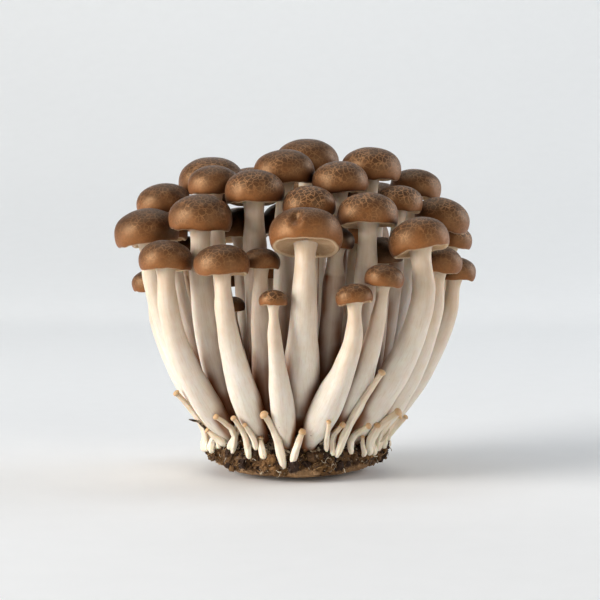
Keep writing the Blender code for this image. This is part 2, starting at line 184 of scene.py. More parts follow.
plug_rows = []
plug_tone = []
for reach, height in resampled(PLUG_ROWS, PLUG_ROW_GAP):
    row = []
    row_tone = []
    for k in range(PLUG_SIDES):
        turn = 2 * math.pi * k / PLUG_SIDES
        aim = Vector((reach * math.cos(turn), reach * math.sin(turn), height)) - Vector(PLUG_MIDDLE)
        spot = np.array(plug_surface.ray_cast(Vector(PLUG_MIDDLE) * MM, aim.normalized())[0]) / MM
        out = (spot - PLUG_MIDDLE) / np.linalg.norm(spot - PLUG_MIDDLE)
        cells = noise.voronoi(Vector(spot) / GRAIN_WIDE)[0]
        lumps = (ROLL_PROUD * speck(spot, ROLL_WIDE) + GRAIN_PROUD * (GRAIN_LEVEL - cells[0])
                 + PIT_PROUD * speck(spot, PIT_WIDE, 3.0))
        spot = spot + out * lumps * (PRESSED_SHARE if height < PRESSED_HIGH else 1.0)
        spot[0] *= 1 + np.interp(spot[2], LEAN_HIGH, LEAN_ASIDE)
        spot[1] *= 1 + np.interp(spot[2], LEAN_HIGH, LEAN_AHEAD)
        spot[2] -= RIM_SUNK * np.interp(spot[2], RIM_HIGH, [0, 1])
        spot[2] = max(spot[2], STANDING_HIGH if reach < STANDING_REACH else EDGE_HIGH)
        row.append(spot)
        row_tone.append(GRAIN_TONE + GAP_TONE * cells[0])
    plug_rows.append(row)
    plug_tone.append(row_tone)
core = skin("substrate_core", np.array(plug_rows), {"tone": np.array(plug_tone)}, sawdust)
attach(core, "root")
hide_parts("substrate_plug")

# ==== Crumbs and chips on the plug ====
# Loose bits of sawdust, bran and husk that stick to the torn face of the plug: lumps 2 to 4 mm across,
# chips of 1 to 2 mm, and finer crumbs between them, no two alike.


def new_tree(name, inputs):
    """A geometry tree with named inputs, and its group input's outputs."""
    group = bpy.data.node_groups.new(name, "GeometryNodeTree")
    group.interface.new_socket(name="Geometry", in_out="INPUT", socket_type="NodeSocketGeometry")
    group.interface.new_socket(name="Geometry", in_out="OUTPUT", socket_type="NodeSocketGeometry")
    for title, kind in inputs.items():
        group.interface.new_socket(name=title, in_out="INPUT", socket_type="NodeSocket" + kind)
    return group, group.nodes.new("NodeGroupInput").outputs


def grown(name, source, group, values):
    """Runs a geometry tree on a copy of an object, and keeps the result as a plain mesh object."""
    piece = bpy.data.objects.new(name, source.data)
    bpy.context.scene.collection.objects.link(piece)
    growth = piece.modifiers.new("growth", "NODES")
    growth.node_group = group
    for socket in group.interface.items_tree:
        if socket.in_out == "INPUT" and socket.name in values:
            growth[socket.identifier] = values[socket.name]
    made = bpy.data.meshes.new_from_object(piece.evaluated_get(bpy.context.evaluated_depsgraph_get()))
    made.name = name
    piece.modifiers.remove(growth)
    piece.data = made
    return piece


crumb_tree, given = new_tree("crumbs stuck on a surface", {
    "Crumbs per square metre": "Float", "Smallest": "Float", "Largest": "Float", "Faces": "Int",
    "Lowest": "Float", "Roughening": "Float", "Seed": "Int", "Stuff": "Material"})
where = put(crumb_tree, "GeometryNodeInputPosition")
upright = put(crumb_tree, "ShaderNodeSeparateXYZ", {"Vector": where.outputs[0]})
above = put(crumb_tree, "FunctionNodeCompare", {0: upright.outputs["Z"], 1: given["Lowest"]},
            data_type="FLOAT", operation="GREATER_THAN")
spots = put(crumb_tree, "GeometryNodeDistributePointsOnFaces", {
    "Mesh": given["Geometry"], "Selection": above.outputs[0], "Density": given["Crumbs per square metre"],
    "Seed": given["Seed"]})
ball = put(crumb_tree, "GeometryNodeMeshIcoSphere", {"Radius": 1.0, "Subdivisions": given["Faces"]})
turns = put(crumb_tree, "FunctionNodeRandomValue", {1: (6.3, 6.3, 6.3), 8: given["Seed"]},
            data_type="FLOAT_VECTOR")
size = put(crumb_tree, "FunctionNodeRandomValue", {
    2: given["Smallest"], 3: given["Largest"], 8: given["Seed"]}, data_type="FLOAT")
stretch = put(crumb_tree, "FunctionNodeRandomValue", {0: (0.6, 0.6, 0.45), 1: (1.6, 1.1, 0.9), 8: 5},
              data_type="FLOAT_VECTOR")
scale = put(crumb_tree, "ShaderNodeVectorMath", {0: stretch.outputs[0], "Scale": size.outputs[1]},
            operation="SCALE")
crumbs = put(crumb_tree, "GeometryNodeInstanceOnPoints", {
    "Points": spots.outputs["Points"], "Instance": ball.outputs["Mesh"], "Rotation": turns.outputs[0],
    "Scale": scale.outputs[0]})
hue = put(crumb_tree, "FunctionNodeRandomValue", {2: -0.25, 3: 0.62, 8: 11}, data_type="FLOAT")
toned = put(crumb_tree, "GeometryNodeStoreNamedAttribute", {
    "Geometry": crumbs.outputs[0], "Name": "tone", "Value": hue.outputs[1]},
    data_type="FLOAT", domain="INSTANCE")
solid = put(crumb_tree, "GeometryNodeRealizeInstances", {"Geometry": toned.outputs[0]})
grit = put(crumb_tree, "ShaderNodeTexNoise", {"Scale": 1100.0, "Detail": 2.0})
grit = put(crumb_tree, "ShaderNodeVectorMath", {0: grit.outputs["Color"], 1: (0.5, 0.5, 0.5)},
           operation="SUBTRACT")
grit = put(crumb_tree, "ShaderNodeVectorMath", {0: grit.outputs[0], "Scale": given["Roughening"]},
           operation="SCALE")
rough_crumbs = put(crumb_tree, "GeometryNodeSetPosition", {
    "Geometry": solid.outputs[0], "Offset": grit.outputs[0]})
coated = put(crumb_tree, "GeometryNodeSetMaterial", {
    "Geometry": rough_crumbs.outputs[0], "Material": given["Stuff"]})
put(crumb_tree, "NodeGroupOutput", {0: coated.outputs[0]})

for name, density, smallest, largest, lowest, faces, roughening, seed in (
        ("substrate_lumps", 0.050e6, 0.9, 2.0, 2.9, 3, 2.8, 14),
        ("substrate_chunks", 0.20e6, 0.45, 1.15, 2.0, 2, 2.0, 3),
        ("substrate_crumbs", 0.85e6, 0.18, 0.42, 0.9, 1, 0.6, 8)):
    piece = grown(name, core, crumb_tree, {
        "Crumbs per square metre": density, "Smallest": smallest * MM, "Largest": largest * MM,
        "Faces": faces, "Lowest": lowest * MM, "Roughening": roughening * MM, "Seed": seed,
        "Stuff": sawdust})
    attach(piece, "root")
    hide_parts("substrate_plug")

# ==== Fibres and mould threads ====
# Split wood fibres stand and lie all over the torn plug, and the fungus binds it with white threads.
# Both are single bent strands, pressed into the surface at one end. A few dark husk hairs hang out.

# Split wood fibre: pale ochre straw with a slight gloss along its length.
straw, tree = empty_material("Split wood fibre")
place = put(tree, "ShaderNodeTexCoord").outputs["Object"]
tone = put(tree, "ShaderNodeAttribute", attribute_name="tone").outputs["Fac"]
bits = put(tree, "ShaderNodeTexNoise", {"Vector": place, "Scale": 700.0, "Detail": 3.0})
shade = put(tree, "ShaderNodeMath", {0: bits.outputs["Fac"], 1: 0.4, 2: tone}, operation="MULTIPLY_ADD")
colour = put(tree, "ShaderNodeMix", {0: shade.outputs[0], 6: linear("#3A2414"), 7: linear("#C29C6A")},
             data_type="RGBA")
rough = put(tree, "ShaderNodeMapRange", {0: bits.outputs["Fac"], 1: 0.3, 2: 0.7, 3: 0.45, 4: 0.8})
bump = put(tree, "ShaderNodeBump", {"Strength": 0.4, "Distance": 0.0001, "Height": bits.outputs["Fac"]})
shader = put(tree, "ShaderNodeBsdfPrincipled", {
    "Base Color": colour.outputs[2], "Roughness": rough.outputs[0], "Normal": bump.outputs[0]})
put(tree, "ShaderNodeOutputMaterial", {"Surface": shader.outputs[0]})

# Mycelium: felted white threads, soft and matt, that let light through.
mycelium, tree = empty_material("White mycelium")
place = put(tree, "ShaderNodeTexCoord").outputs["Object"]
bits = put(tree, "ShaderNodeTexNoise", {"Vector": place, "Scale": 420.0, "Detail": 5.0, "Roughness": 0.6})
colour = put(tree, "ShaderNodeMix", {0: bits.outputs["Fac"], 6: linear("#C9B08A"), 7: linear("#F2EADA")},
             data_type="RGBA")
rough = put(tree, "ShaderNodeMapRange", {0: bits.outputs["Fac"], 1: 0.3, 2: 0.7, 3: 0.6, 4: 0.9})
bump = put(tree, "ShaderNodeBump", {"Strength": 0.5, "Distance": 0.0002, "Height": bits.outputs["Fac"]})
shader = put(tree, "ShaderNodeBsdfPrincipled", {
    "Base Color": colour.outputs[2], "Roughness": rough.outputs[0], "Subsurface Weight": 0.25,
    "Subsurface Radius": (1.0, 0.6, 0.35), "Subsurface Scale": 0.001, "Normal": bump.outputs[0]})
put(tree, "ShaderNodeOutputMaterial", {"Surface": shader.outputs[0]})

strand_tree, given = new_tree("strands on a surface", {
    "Strands per square metre": "Float", "Length": "Float", "Thickness": "Float", "Bend": "Float",
    "Lift": "Float", "Lowest": "Float", "Seed": "Int", "Stuff": "Material"})
where = put(strand_tree, "GeometryNodeInputPosition")
upright = put(strand_tree, "ShaderNodeSeparateXYZ", {"Vector": where.outputs[0]})
above = put(strand_tree, "FunctionNodeCompare", {0: upright.outputs["Z"], 1: given["Lowest"]},
            data_type="FLOAT", operation="GREATER_THAN")
spots = put(strand_tree, "GeometryNodeDistributePointsOnFaces", {
    "Mesh": given["Geometry"], "Selection": above.outputs[0], "Density": given["Strands per square metre"],
    "Seed": given["Seed"]})
tip = put(strand_tree, "ShaderNodeCombineXYZ", {"X": given["Length"]})
half = put(strand_tree, "ShaderNodeMath", {0: given["Length"], 1: 0.5}, operation="MULTIPLY")
belly = put(strand_tree, "ShaderNodeCombineXYZ", {"X": half.outputs[0], "Z": given["Bend"]})
line = put(strand_tree, "GeometryNodeCurveQuadraticBezier", {
    "Resolution": 5, "Start": (0.0, 0.0, 0.0), "Middle": belly.outputs[0], "End": tip.outputs[0]})
section = put(strand_tree, "GeometryNodeCurvePrimitiveCircle", {
    "Resolution": 4, "Radius": given["Thickness"]})
strand = put(strand_tree, "GeometryNodeCurveToMesh", {
    "Curve": line.outputs[0], "Profile Curve": section.outputs[0], "Fill Caps": True})
least = put(strand_tree, "ShaderNodeMath", {0: given["Lift"], 1: -1.0}, operation="MULTIPLY")
most = put(strand_tree, "ShaderNodeCombineXYZ", {"X": 1.0, "Y": 0.25, "Z": 6.28})
least = put(strand_tree, "ShaderNodeCombineXYZ", {"X": -1.0, "Y": least.outputs[0], "Z": 0.0})
turns = put(strand_tree, "FunctionNodeRandomValue", {
    0: least.outputs[0], 1: most.outputs[0], 8: given["Seed"]}, data_type="FLOAT_VECTOR")
aimed = put(strand_tree, "FunctionNodeRotateRotation", {
    "Rotation": spots.outputs["Rotation"], "Rotate By": turns.outputs[0]}, rotation_space="LOCAL")
size = put(strand_tree, "FunctionNodeRandomValue", {2: 0.4, 3: 1.5, 8: 2}, data_type="FLOAT")
strands = put(strand_tree, "GeometryNodeInstanceOnPoints", {
    "Points": spots.outputs["Points"], "Instance": strand.outputs[0], "Rotation": aimed.outputs[0],
    "Scale": size.outputs[1]})
hue = put(strand_tree, "FunctionNodeRandomValue", {2: -0.1, 3: 0.9, 8: 7}, data_type="FLOAT")
toned = put(strand_tree, "GeometryNodeStoreNamedAttribute", {
    "Geometry": strands.outputs[0], "Name": "tone", "Value": hue.outputs[1]},
    data_type="FLOAT", domain="INSTANCE")
solid = put(strand_tree, "GeometryNodeRealizeInstances", {"Geometry": toned.outputs[0]})
waver = put(strand_tree, "ShaderNodeTexNoise", {"Scale": 500.0, "Detail": 1.0})
waver = put(strand_tree, "ShaderNodeVectorMath", {0: waver.outputs["Color"], 1: (0.5, 0.5, 0.5)},
            operation="SUBTRACT")
waver = put(strand_tree, "ShaderNodeVectorMath", {0: waver.outputs[0], "Scale": 1.4 * MM},
            operation="SCALE")
wavy = put(strand_tree, "GeometryNodeSetPosition", {
    "Geometry": solid.outputs[0], "Offset": waver.outputs[0]})
coated = put(strand_tree, "GeometryNodeSetMaterial", {
    "Geometry": wavy.outputs[0], "Material": given["Stuff"]})
put(strand_tree, "NodeGroupOutput", {0: coated.outputs[0]})

for name, density, length, thickness, bend, lift, lowest, seed, stuff, slot in (
        ("wood_fibres", 0.24e6, 2.2, 0.07, 0.4, 0.5, 3.1, 4, straw, "substrate"),
        ("mycelium_threads", 0.14e6, 1.9, 0.06, 0.5, 0.3, 1.6, 9, mycelium, "mycelium")):
    piece = grown(name, core, strand_tree, {
        "Strands per square metre": density, "Length": length * MM, "Thickness": thickness * MM,
        "Bend": bend * MM, "Lift": lift, "Lowest": lowest * MM, "Seed": seed, "Stuff": stuff})
    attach(piece, "root")
    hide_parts("substrate_plug")

# Dark hairs of rotted husk that hang out of the plug: each a bent line from inside it, in mm.
HUSK_HAIRS = [((-22, -12, 9.5), (-27.5, -14, 13), (-30.5, -15, 16.2), (-33.6, -15.5, 17.0)),
              ((24, -14, 8), (27, -16, 10.5), (28.6, -17, 12.6), (29.2, -17.2, 14.2)),
              ((18, 20, 8), (22, 25, 9.5), (24.5, 28.5, 11.8), (25.5, 30, 14.5)),
              ((-14, 24, 6), (-17, 29, 6.8), (-18.5, 32.5, 8.4), (-21, 34, 8.8))]
HUSK_THICK = 0.42           # mm, from its middle line to its face
HUSK_TAPER_AT = [0, 0.6, 0.9, 1]
HUSK_TAPER = [1, 1.2, 0.9, 0.3]
HUSK_GNARL, GNARL_WIDE = 0.5, 0.9       # share of its thickness that comes and goes, and over how many mm
HUSK_SIDES = 10
HUSK_STEP = 0.5             # mm
HUSK_TONE = -0.35           # darker than any crumb
husk_turn = np.linspace(0, 2 * np.pi, HUSK_SIDES, endpoint=False)
for k, hair in enumerate(HUSK_HAIRS):
    bends = resampled(hair, HUSK_STEP)
    thin = HUSK_THICK * np.interp(np.linspace(0, 1, len(bends)), HUSK_TAPER_AT, HUSK_TAPER)
    ways = np.gradient(bends, axis=0)
    rows = []
    for spot, way, thick in zip(bends, ways / np.linalg.norm(ways, axis=1)[:, None], thin):
        side = np.cross(way, [0.3, 0.9, 0.1])       # any line that no hair runs along
        side /= np.linalg.norm(side)
        other = np.cross(way, side)
        ring = []
        for a in husk_turn:
            gnarl = 1 + HUSK_GNARL * speck(spot + [math.cos(a), math.sin(a), 0], GNARL_WIDE, 2.0)
            ring.append(spot + (side * math.cos(a) + other * math.sin(a)) * thick * gnarl)
        rows.append(ring)
    marks = {"tone": np.full((len(rows), HUSK_SIDES), HUSK_TONE)}
    piece = skin(f"husk_hair_{k}", np.array(rows), marks, sawdust)
    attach(piece, "root")
    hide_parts("substrate_plug")

# ==== Stems ====
# The white, solid, fibrous stem of each mushroom, thick in its lower half and pressed close to its
# neighbours. It grows out of the plug and runs up into the flesh of its cap.

STEM_SIDES = 40
STEM_RING_GAP = 0.85        # mm
STEM_INTO_PLUG = 3.0        # mm of stem hidden in the plug
STEM_INTO_CAP = 0.16        # share of the cap's radius that the stem runs on above the gills
STEM_RINGS = 7              # rings of the CAD stem, foot to gills
WIDEST_RING = 11            # and the CAD cap's widest ring, counted from the foot
GRAIN_SHARE = 0.09          # the grain counts this share of a length, which draws its streaks out
GRAIN_APART = 9             # mm between one stem's grain and the next one's
FOOT_SHARE = 0.9            # girth of the hidden foot, as a share of the lowest ring's
CROWN_SHARE = 1.15          # and of the top, hidden in the cap
LUMP_SHARE, LUMP_WIDE = 0.06, 3.2       # how far a stem swells out of true, as a share of its radius
OVAL_SHARE = 0.035          # how far it is flattened
FLUTE_SHARE, FLUTE_WIDE = 0.014, 1.5    # fine furrows along it
# How shut in each spot is, found below, darkens the colour of stems and caps there: painted shade.
SHELTER_REACH = 24.0        # mm: a neighbour nearer than this shuts a spot in
SHELTER_WAYS = 48           # directions tried all round
SHELTER_CLEAR = 0.5         # mm out from the face, where the tries start
SHELTER_GLANCING = 0.1      # directions closer to the face than this are left out
SPIRAL_STEP = 2.4           # radians from one direction to the next, which spreads them evenly

# Stem flesh: smooth, satin and slightly see-through, white to cream, with fine lengthwise fibres,
# faint beige bruises toward the neck and small dark specks of sawdust toward the foot. Where its
# neighbours shut it in, its colour is painted darker and browner: painted shade.
flesh, tree = empty_material("Mushroom stem flesh, fibrous")
place = put(tree, "ShaderNodeTexCoord").outputs["Object"]
grain = put(tree, "ShaderNodeAttribute", attribute_name="grain").outputs["Vector"]
up = put(tree, "ShaderNodeAttribute", attribute_name="height").outputs["Fac"]
fibres = put(tree, "ShaderNodeTexNoise", {"Vector": grain, "Scale": 2.6, "Detail": 5.0, "Roughness": 0.6})
bands = put(tree, "ShaderNodeTexNoise", {"Vector": grain, "Scale": 0.55, "Detail": 2.0, "Roughness": 0.5})
clouds = put(tree, "ShaderNodeTexNoise", {
    "Vector": place, "Scale": 210.0, "Detail": 4.0, "Roughness": 0.6})
neck = put(tree, "ShaderNodeMapRange", {0: up, 1: 0.40, 2: 1.0, 3: 0.0, 4: 0.55},
           interpolation_type="SMOOTHSTEP")
beige = put(tree, "ShaderNodeMath", {0: clouds.outputs["Fac"], 1: 0.7, 2: neck.outputs[0]},
            operation="MULTIPLY_ADD")
beige = put(tree, "ShaderNodeMath", {0: bands.outputs["Fac"], 1: 0.5, 2: beige.outputs[0]},
            operation="MULTIPLY_ADD")
beige = put(tree, "ShaderNodeMapRange", {0: beige.outputs[0], 1: 0.45, 2: 1.35, 3: 0.0, 4: 1.0})
colour = put(tree, "ShaderNodeMix", {0: beige.outputs[0], 6: linear("#E4DED3"), 7: linear("#CCB497")},
             data_type="RGBA")
line_mask = put(tree, "ShaderNodeMapRange", {0: fibres.outputs["Fac"], 1: 0.50, 2: 0.72, 3: 0.0, 4: 0.35})
colour = put(tree, "ShaderNodeMix", {0: line_mask.outputs[0], 6: colour.outputs[2], 7: linear("#C2A788")},
             data_type="RGBA")
# Painted shade: darker brown where the neighbours shut the stem in.
painted_shade_share = put(tree, "ShaderNodeAttribute", attribute_name="painted_crevice_shade").outputs["Fac"]
painted_shade_share = put(tree, "ShaderNodeMapRange", {0: painted_shade_share, 1: 0.40, 2: 0.92, 3: 0.0, 4: 1.0},
             interpolation_type="SMOOTHSTEP")
colour = put(tree, "ShaderNodeMix", {0: painted_shade_share.outputs[0], 6: colour.outputs[2], 7: linear("#96613A")},
             data_type="RGBA", blend_type="MULTIPLY")
dots = put(tree, "ShaderNodeTexVoronoi", {"Vector": place, "Scale": 420.0, "Randomness": 1.0},
           feature="F1")
dot = put(tree, "ShaderNodeMapRange", {0: dots.outputs["Distance"], 1: 0.13, 2: 0.07, 3: 0.0, 4: 1.0})
picked = put(tree, "ShaderNodeSeparateColor", {"Color": dots.outputs["Color"]})
picked = put(tree, "ShaderNodeMath", {0: picked.outputs[0], 1: 0.80}, operation="GREATER_THAN")
dirty = put(tree, "ShaderNodeMapRange", {0: up, 1: 0.10, 2: 0.45, 3: 0.9, 4: 0.0})
dot = put(tree, "ShaderNodeMath", {0: dot.outputs[0], 1: picked.outputs[0]}, operation="MULTIPLY")
dot = put(tree, "ShaderNodeMath", {0: dot.outputs[0], 1: dirty.outputs[0]}, operation="MULTIPLY")
colour = put(tree, "ShaderNodeMix", {0: dot.outputs[0], 6: colour.outputs[2], 7: linear("#4A3020")},
             data_type="RGBA")
rough = put(tree, "ShaderNodeMapRange", {0: fibres.outputs["Fac"], 1: 0.3, 2: 0.7, 3: 0.42, 4: 0.62})
bump = put(tree, "ShaderNodeBump", {
    "Strength": 0.35, "Distance": 0.00016, "Height": fibres.outputs["Fac"]})
bump = put(tree, "ShaderNodeBump", {"Strength": 0.25, "Distance": 0.0006, "Height": bands.outputs["Fac"],
                                    "Normal": bump.outputs[0]})
shader = put(tree, "ShaderNodeBsdfPrincipled", {
    "Base Color": colour.outputs[2], "Roughness": rough.outputs[0], "Specular IOR Level": 0.4,
    "Subsurface Weight": 0.45, "Subsurface Radius": (1.0, 0.48, 0.25), "Subsurface Scale": 0.0028,
    "Normal": bump.outputs[0]})
put(tree, "ShaderNodeOutputMaterial", {"Surface": shader.outputs[0]})


shell_points = []
shell_faces = []
shell_owner = []
for node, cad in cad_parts.items():
    first = len(shell_points)
    shell_points += [v.co / MM for v in cad.data.vertices]
    shell_faces += [[first + i for i in f.vertices] for f in cad.data.polygons]
    shell_owner += [node] * len(cad.data.polygons)
cluster_surface = BVHTree.FromPolygons(shell_points, shell_faces)
spiral = np.arange(SHELTER_WAYS) + 0.5
level = 1 - 2 * spiral / SHELTER_WAYS
around = np.sqrt(1 - level ** 2)
ways_out = np.stack([around * np.cos(SPIRAL_STEP * spiral), around * np.sin(SPIRAL_STEP * spiral),
                     level], 1)


def painted_crevice_shade(rows, node, row_step, side_step):
    """How shut in by its neighbours each point is, 0 to 1, which the materials paint as shade: tried on a
    coarse grid and spread from it.
    """
    count, sides = rows.shape[:2]
    row_at = np.unique(np.append(np.arange(0, count, row_step), count - 1))
    side_at = np.arange(0, sides, side_step)
    shut = np.zeros((len(row_at), len(side_at)))
    for i, row in enumerate(row_at):
        for j, side in enumerate(side_at):
            along = rows[min(row + 1, count - 1), side] - rows[max(row - 1, 0), side]
            across = rows[row, (side + 1) % sides] - rows[row, side - 1]
            out = np.cross(across, along)
            out /= max(np.linalg.norm(out), 1e-9)
            facing = ways_out @ out
            open_side = facing > SHELTER_GLANCING
            start = Vector(rows[row, side] + out * SHELTER_CLEAR)
            blocked = 0.0
            for way, share in zip(ways_out[open_side], facing[open_side]):
                face = cluster_surface.ray_cast(start, Vector(way), SHELTER_REACH)[2]
                if face is not None and shell_owner[face] != node:
                    blocked += share
            shut[i, j] = blocked / facing[open_side].sum()
    tall = np.array([np.interp(np.arange(count), row_at, column) for column in shut.T])
    turn_at = np.append(side_at, sides)
    closed = np.concatenate([tall, tall[:1]])
    return np.array([np.interp(np.arange(sides), turn_at, ring) for ring in closed.T])


def cad_rings(node):
    """The rings of a CAD mushroom or pin, in mm: its foot, each ring upwards, and its crown."""
    bm = bmesh.new()
    bm.from_mesh(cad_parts[node].data)
    bmesh.ops.remove_doubles(bm, verts=bm.verts, dist=1e-6)
    most = max(len(v.link_edges) for v in bm.verts)
    ring = [min((v for v in bm.verts if len(v.link_edges) == most), key=lambda v: v.co.z)]
    found = []
    seen = set(ring)
    while ring:
        found.append(np.array([v.co for v in ring]) / MM)
        beside = {e.other_vert(v) for v in ring for e in v.link_edges} - seen
        seen |= beside
        ring = sorted(beside, key=lambda v: v.index)
    bm.free()
    return found


def smooth_through(knots, values, at):
    """Values that pass through the given ones in a smooth curve, read at each place in at."""
    values = np.asarray(values, float).reshape(len(knots), -1)
    slopes = np.gradient(values, knots, axis=0)
    i = np.clip(np.searchsorted(knots, at, side="right") - 1, 0, len(knots) - 2)
    gap = (knots[i + 1] - knots[i])[:, None]
    f = ((at - knots[i]) / (knots[i + 1] - knots[i]))[:, None]
    return (values[i] * (1 + 2 * f) * (1 - f) ** 2 + slopes[i] * gap * f * (1 - f) ** 2
            + values[i + 1] * f * f * (3 - 2 * f) + slopes[i + 1] * gap * f * f * (f - 1))


def stem_rows(rings, seed, top):
    """Rings of a smooth stem through the CAD's, with its marks: grain, and height from 0 to 1."""
    middles = np.array([r.mean(0) for r in rings[1:STEM_RINGS + 1]])
    girths = np.array([np.linalg.norm(r - r.mean(0), axis=1).mean() for r in rings[1:STEM_RINGS + 1]])
    down = middles[0] - middles[1]
    down /= np.linalg.norm(down)
    up_on = middles[-1] - middles[-2]
    up_on /= np.linalg.norm(up_on)
    middles = np.concatenate([[middles[0] + down * STEM_INTO_PLUG], middles, [middles[-1] + up_on * top]])
    girths = np.concatenate([[girths[0] * FOOT_SHARE], girths, [girths[-1] * CROWN_SHARE]])
    knots = np.concatenate([[0], np.cumsum(np.linalg.norm(np.diff(middles, axis=0), axis=1))])
    at = np.linspace(0, knots[-1], int(knots[-1] / STEM_RING_GAP) + 1)
    line = smooth_through(knots, middles, at)
    girth = smooth_through(knots, girths, at)[:, 0]
    ways = np.gradient(line, at, axis=0)
    ways /= np.linalg.norm(ways, axis=1)[:, None]
    side = np.cross([0.0, 1.0, 0.0], ways[0])
    turn = np.linspace(0, 2 * np.pi, STEM_SIDES, endpoint=False)
    lean = noise.noise(Vector((seed, 0.5, 0.5))) * 3
    rows = []
    grains = []
    for middle, way, r, s in zip(line, ways, girth, at):
        side = side - way * (side @ way)
        side /= np.linalg.norm(side)
        other = np.cross(way, side)
        ring = []
        for a in turn:
            c, d = math.cos(a), math.sin(a)
            lump = LUMP_SHARE * speck((c * 3, d * 3, s * 0.45), LUMP_WIDE, seed)
            flat = OVAL_SHARE * math.cos(2 * a + lean)
            flute = FLUTE_SHARE * speck((c * 9, d * 9, s * 0.16), FLUTE_WIDE, seed + 5.0)
            ring.append(middle + (side * c + other * d) * r * (1 + (lump + flat + flute)))
        rows.append(ring)
        grains.append(np.stack([np.cos(turn) * r + seed * GRAIN_APART, np.sin(turn) * r,
                                np.full(STEM_SIDES, s * GRAIN_SHARE)], 1))
    height = np.clip((at - STEM_INTO_PLUG) / (knots[-2] - STEM_INTO_PLUG), 0, 1)
    return np.array(rows), {"grain": np.array(grains), "height": np.repeat(height[:, None], STEM_SIDES, 1)}


mushrooms = sorted(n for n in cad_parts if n.startswith("mushroom_"))
mushroom_rings = {node: cad_rings(node) for node in mushrooms}
for node in mushrooms:
    number = node[-2:]
    rings = mushroom_rings[node]
    widest = rings[WIDEST_RING]
    cap = np.linalg.norm(widest - widest.mean(0), axis=1).mean()
    rows, marks = stem_rows(rings, float(number), STEM_INTO_CAP * cap)
    # how shut in each point is, painted into the stem's colour as shade
    marks["painted_crevice_shade"] = painted_crevice_shade(rows, node, row_step=4, side_step=5)
    piece = skin("stem_" + number, rows, marks, flesh)
    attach(piece, "root")
    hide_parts(node)

# ==== Caps ====
# The bun-shaped cap of each mushroom: solid flesh under a thin satin brown skin, its margin rolled in
# round the gills. It grows in one with the top of its stem.

CAP_SIDES = 96
CAP_ROWS = 50
# Outline from under the middle, out along the gills' roof, round the margin and up to the crown, as
# shares of the cap's radius, heights measured from its widest ring.
CAP_OUTLINE = [(0.03, -0.16), (0.20, -0.16), (0.36, -0.175), (0.50, -0.20), (0.62, -0.235),
               (0.72, -0.275), (0.78, -0.32), (0.825, -0.355), (0.865, -0.37), (0.90, -0.36),
               (0.935, -0.325), (0.962, -0.27), (0.984, -0.19), (0.997, -0.10), (1.0, 0.0),
               (0.985, 0.135), (0.94, 0.265), (0.865, 0.385), (0.765, 0.485), (0.645, 0.565),
               (0.50, 0.635), (0.35, 0.683), (0.20, 0.71), (0.06, 0.72)]
MARGIN_ROW = 8              # the row of the outline at the lowest edge
WIDEST_ROW = 14
DIMPLED = "mushroom_05"     # this cap has a pressed dimple in its front
# Where it is, across and up, how wide and tall, and how deep, and the ridge pushed up beside it: all in
# cap radii, like the next six lines.
DIMPLE = ((-0.26, 0.17), (0.13, 0.17), 0.20)
RIDGE = ((-0.06, 0.12), (0.10, 0.22), 0.05)
FRONT_FADE = 0.3                        # both are full this far to the front, and gone at the sides
OVAL, OVAL_WIDE = 0.05, 1.2             # how far a cap is out of round, and how wide each swell is
WAVE, WAVE_WIDE = 0.10, 0.75            # its margin rises and falls
RIPPLE, RIPPLE_WIDE = 0.03, 0.3         # and so does the ripple on that
LUMP, LUMP_ACROSS = 0.035, 0.8          # swells all over it
WAVE_INNER, WAVE_TOP, WAVE_FADE = 0.45, 0.35, 0.5   # none nearer the stem or higher up, full this far on
CAP_SEED_STEP = 3.1         # from one cap's swells to the next one's
SPOTS_LEAST, SPOTS_MORE = 0.45, 0.55    # how strongly its spots show: each cap differs
FAR_SIDE = "mushroom_31"    # from this one on they stand at the back, where the caps crowd together
FAR_GROWN = 1.18            # and have grown this much wider

# Cap skin: a thin satin pellicle, tan at the margin and darker to the crown, where it breaks into dark
# spots with a pale net of lines between them, about 1.5 mm from line to line. Its rolled margin is
# cream underneath, and the roof between the gills brown. Where its neighbours shut it in, the skin
# is painted darker: painted shade.
pellicle, tree = empty_material("Mushroom cap skin, satin")
place = put(tree, "ShaderNodeTexCoord").outputs["Object"]
out = put(tree, "ShaderNodeAttribute", attribute_name="out").outputs["Fac"]     # 0 at the crown, 2 under it
fade = put(tree, "ShaderNodeAttribute", attribute_name="spots").outputs["Fac"]
sway = put(tree, "ShaderNodeTexNoise", {"Vector": place, "Scale": 900.0, "Detail": 2.0})
sway = put(tree, "ShaderNodeVectorMath", {0: sway.outputs["Color"], 1: (0.5, 0.5, 0.5)},
           operation="SUBTRACT")
sway = put(tree, "ShaderNodeVectorMath", {0: sway.outputs[0], "Scale": 0.0009}, operation="SCALE")
swayed = put(tree, "ShaderNodeVectorMath", {0: place, 1: sway.outputs[0]}, operation="ADD")
net = put(tree, "ShaderNodeTexVoronoi", {"Vector": swayed.outputs[0], "Scale": 690.0},
          feature="DISTANCE_TO_EDGE")
spot = put(tree, "ShaderNodeMapRange", {0: net.outputs["Distance"], 1: 0.0, 2: 0.13, 3: 0.0, 4: 1.0},
           interpolation_type="SMOOTHSTEP")
worn = put(tree, "ShaderNodeTexNoise", {"Vector": place, "Scale": 260.0, "Detail": 3.0})
worn = put(tree, "ShaderNodeMath", {0: worn.outputs["Fac"], 1: -0.5}, operation="ADD")
edge = put(tree, "ShaderNodeMath", {0: worn.outputs[0], 1: 1.3, 2: out}, operation="MULTIPLY_ADD")
crown = put(tree, "ShaderNodeMapRange", {0: edge.outputs[0], 1: 0.55, 2: 1.25, 3: 1.0, 4: 0.0},
            interpolation_type="SMOOTHSTEP")
crown = put(tree, "ShaderNodeMath", {0: crown.outputs[0], 1: fade}, operation="MULTIPLY")
clouds = put(tree, "ShaderNodeTexNoise", {
    "Vector": place, "Scale": 170.0, "Detail": 4.0, "Roughness": 0.6})
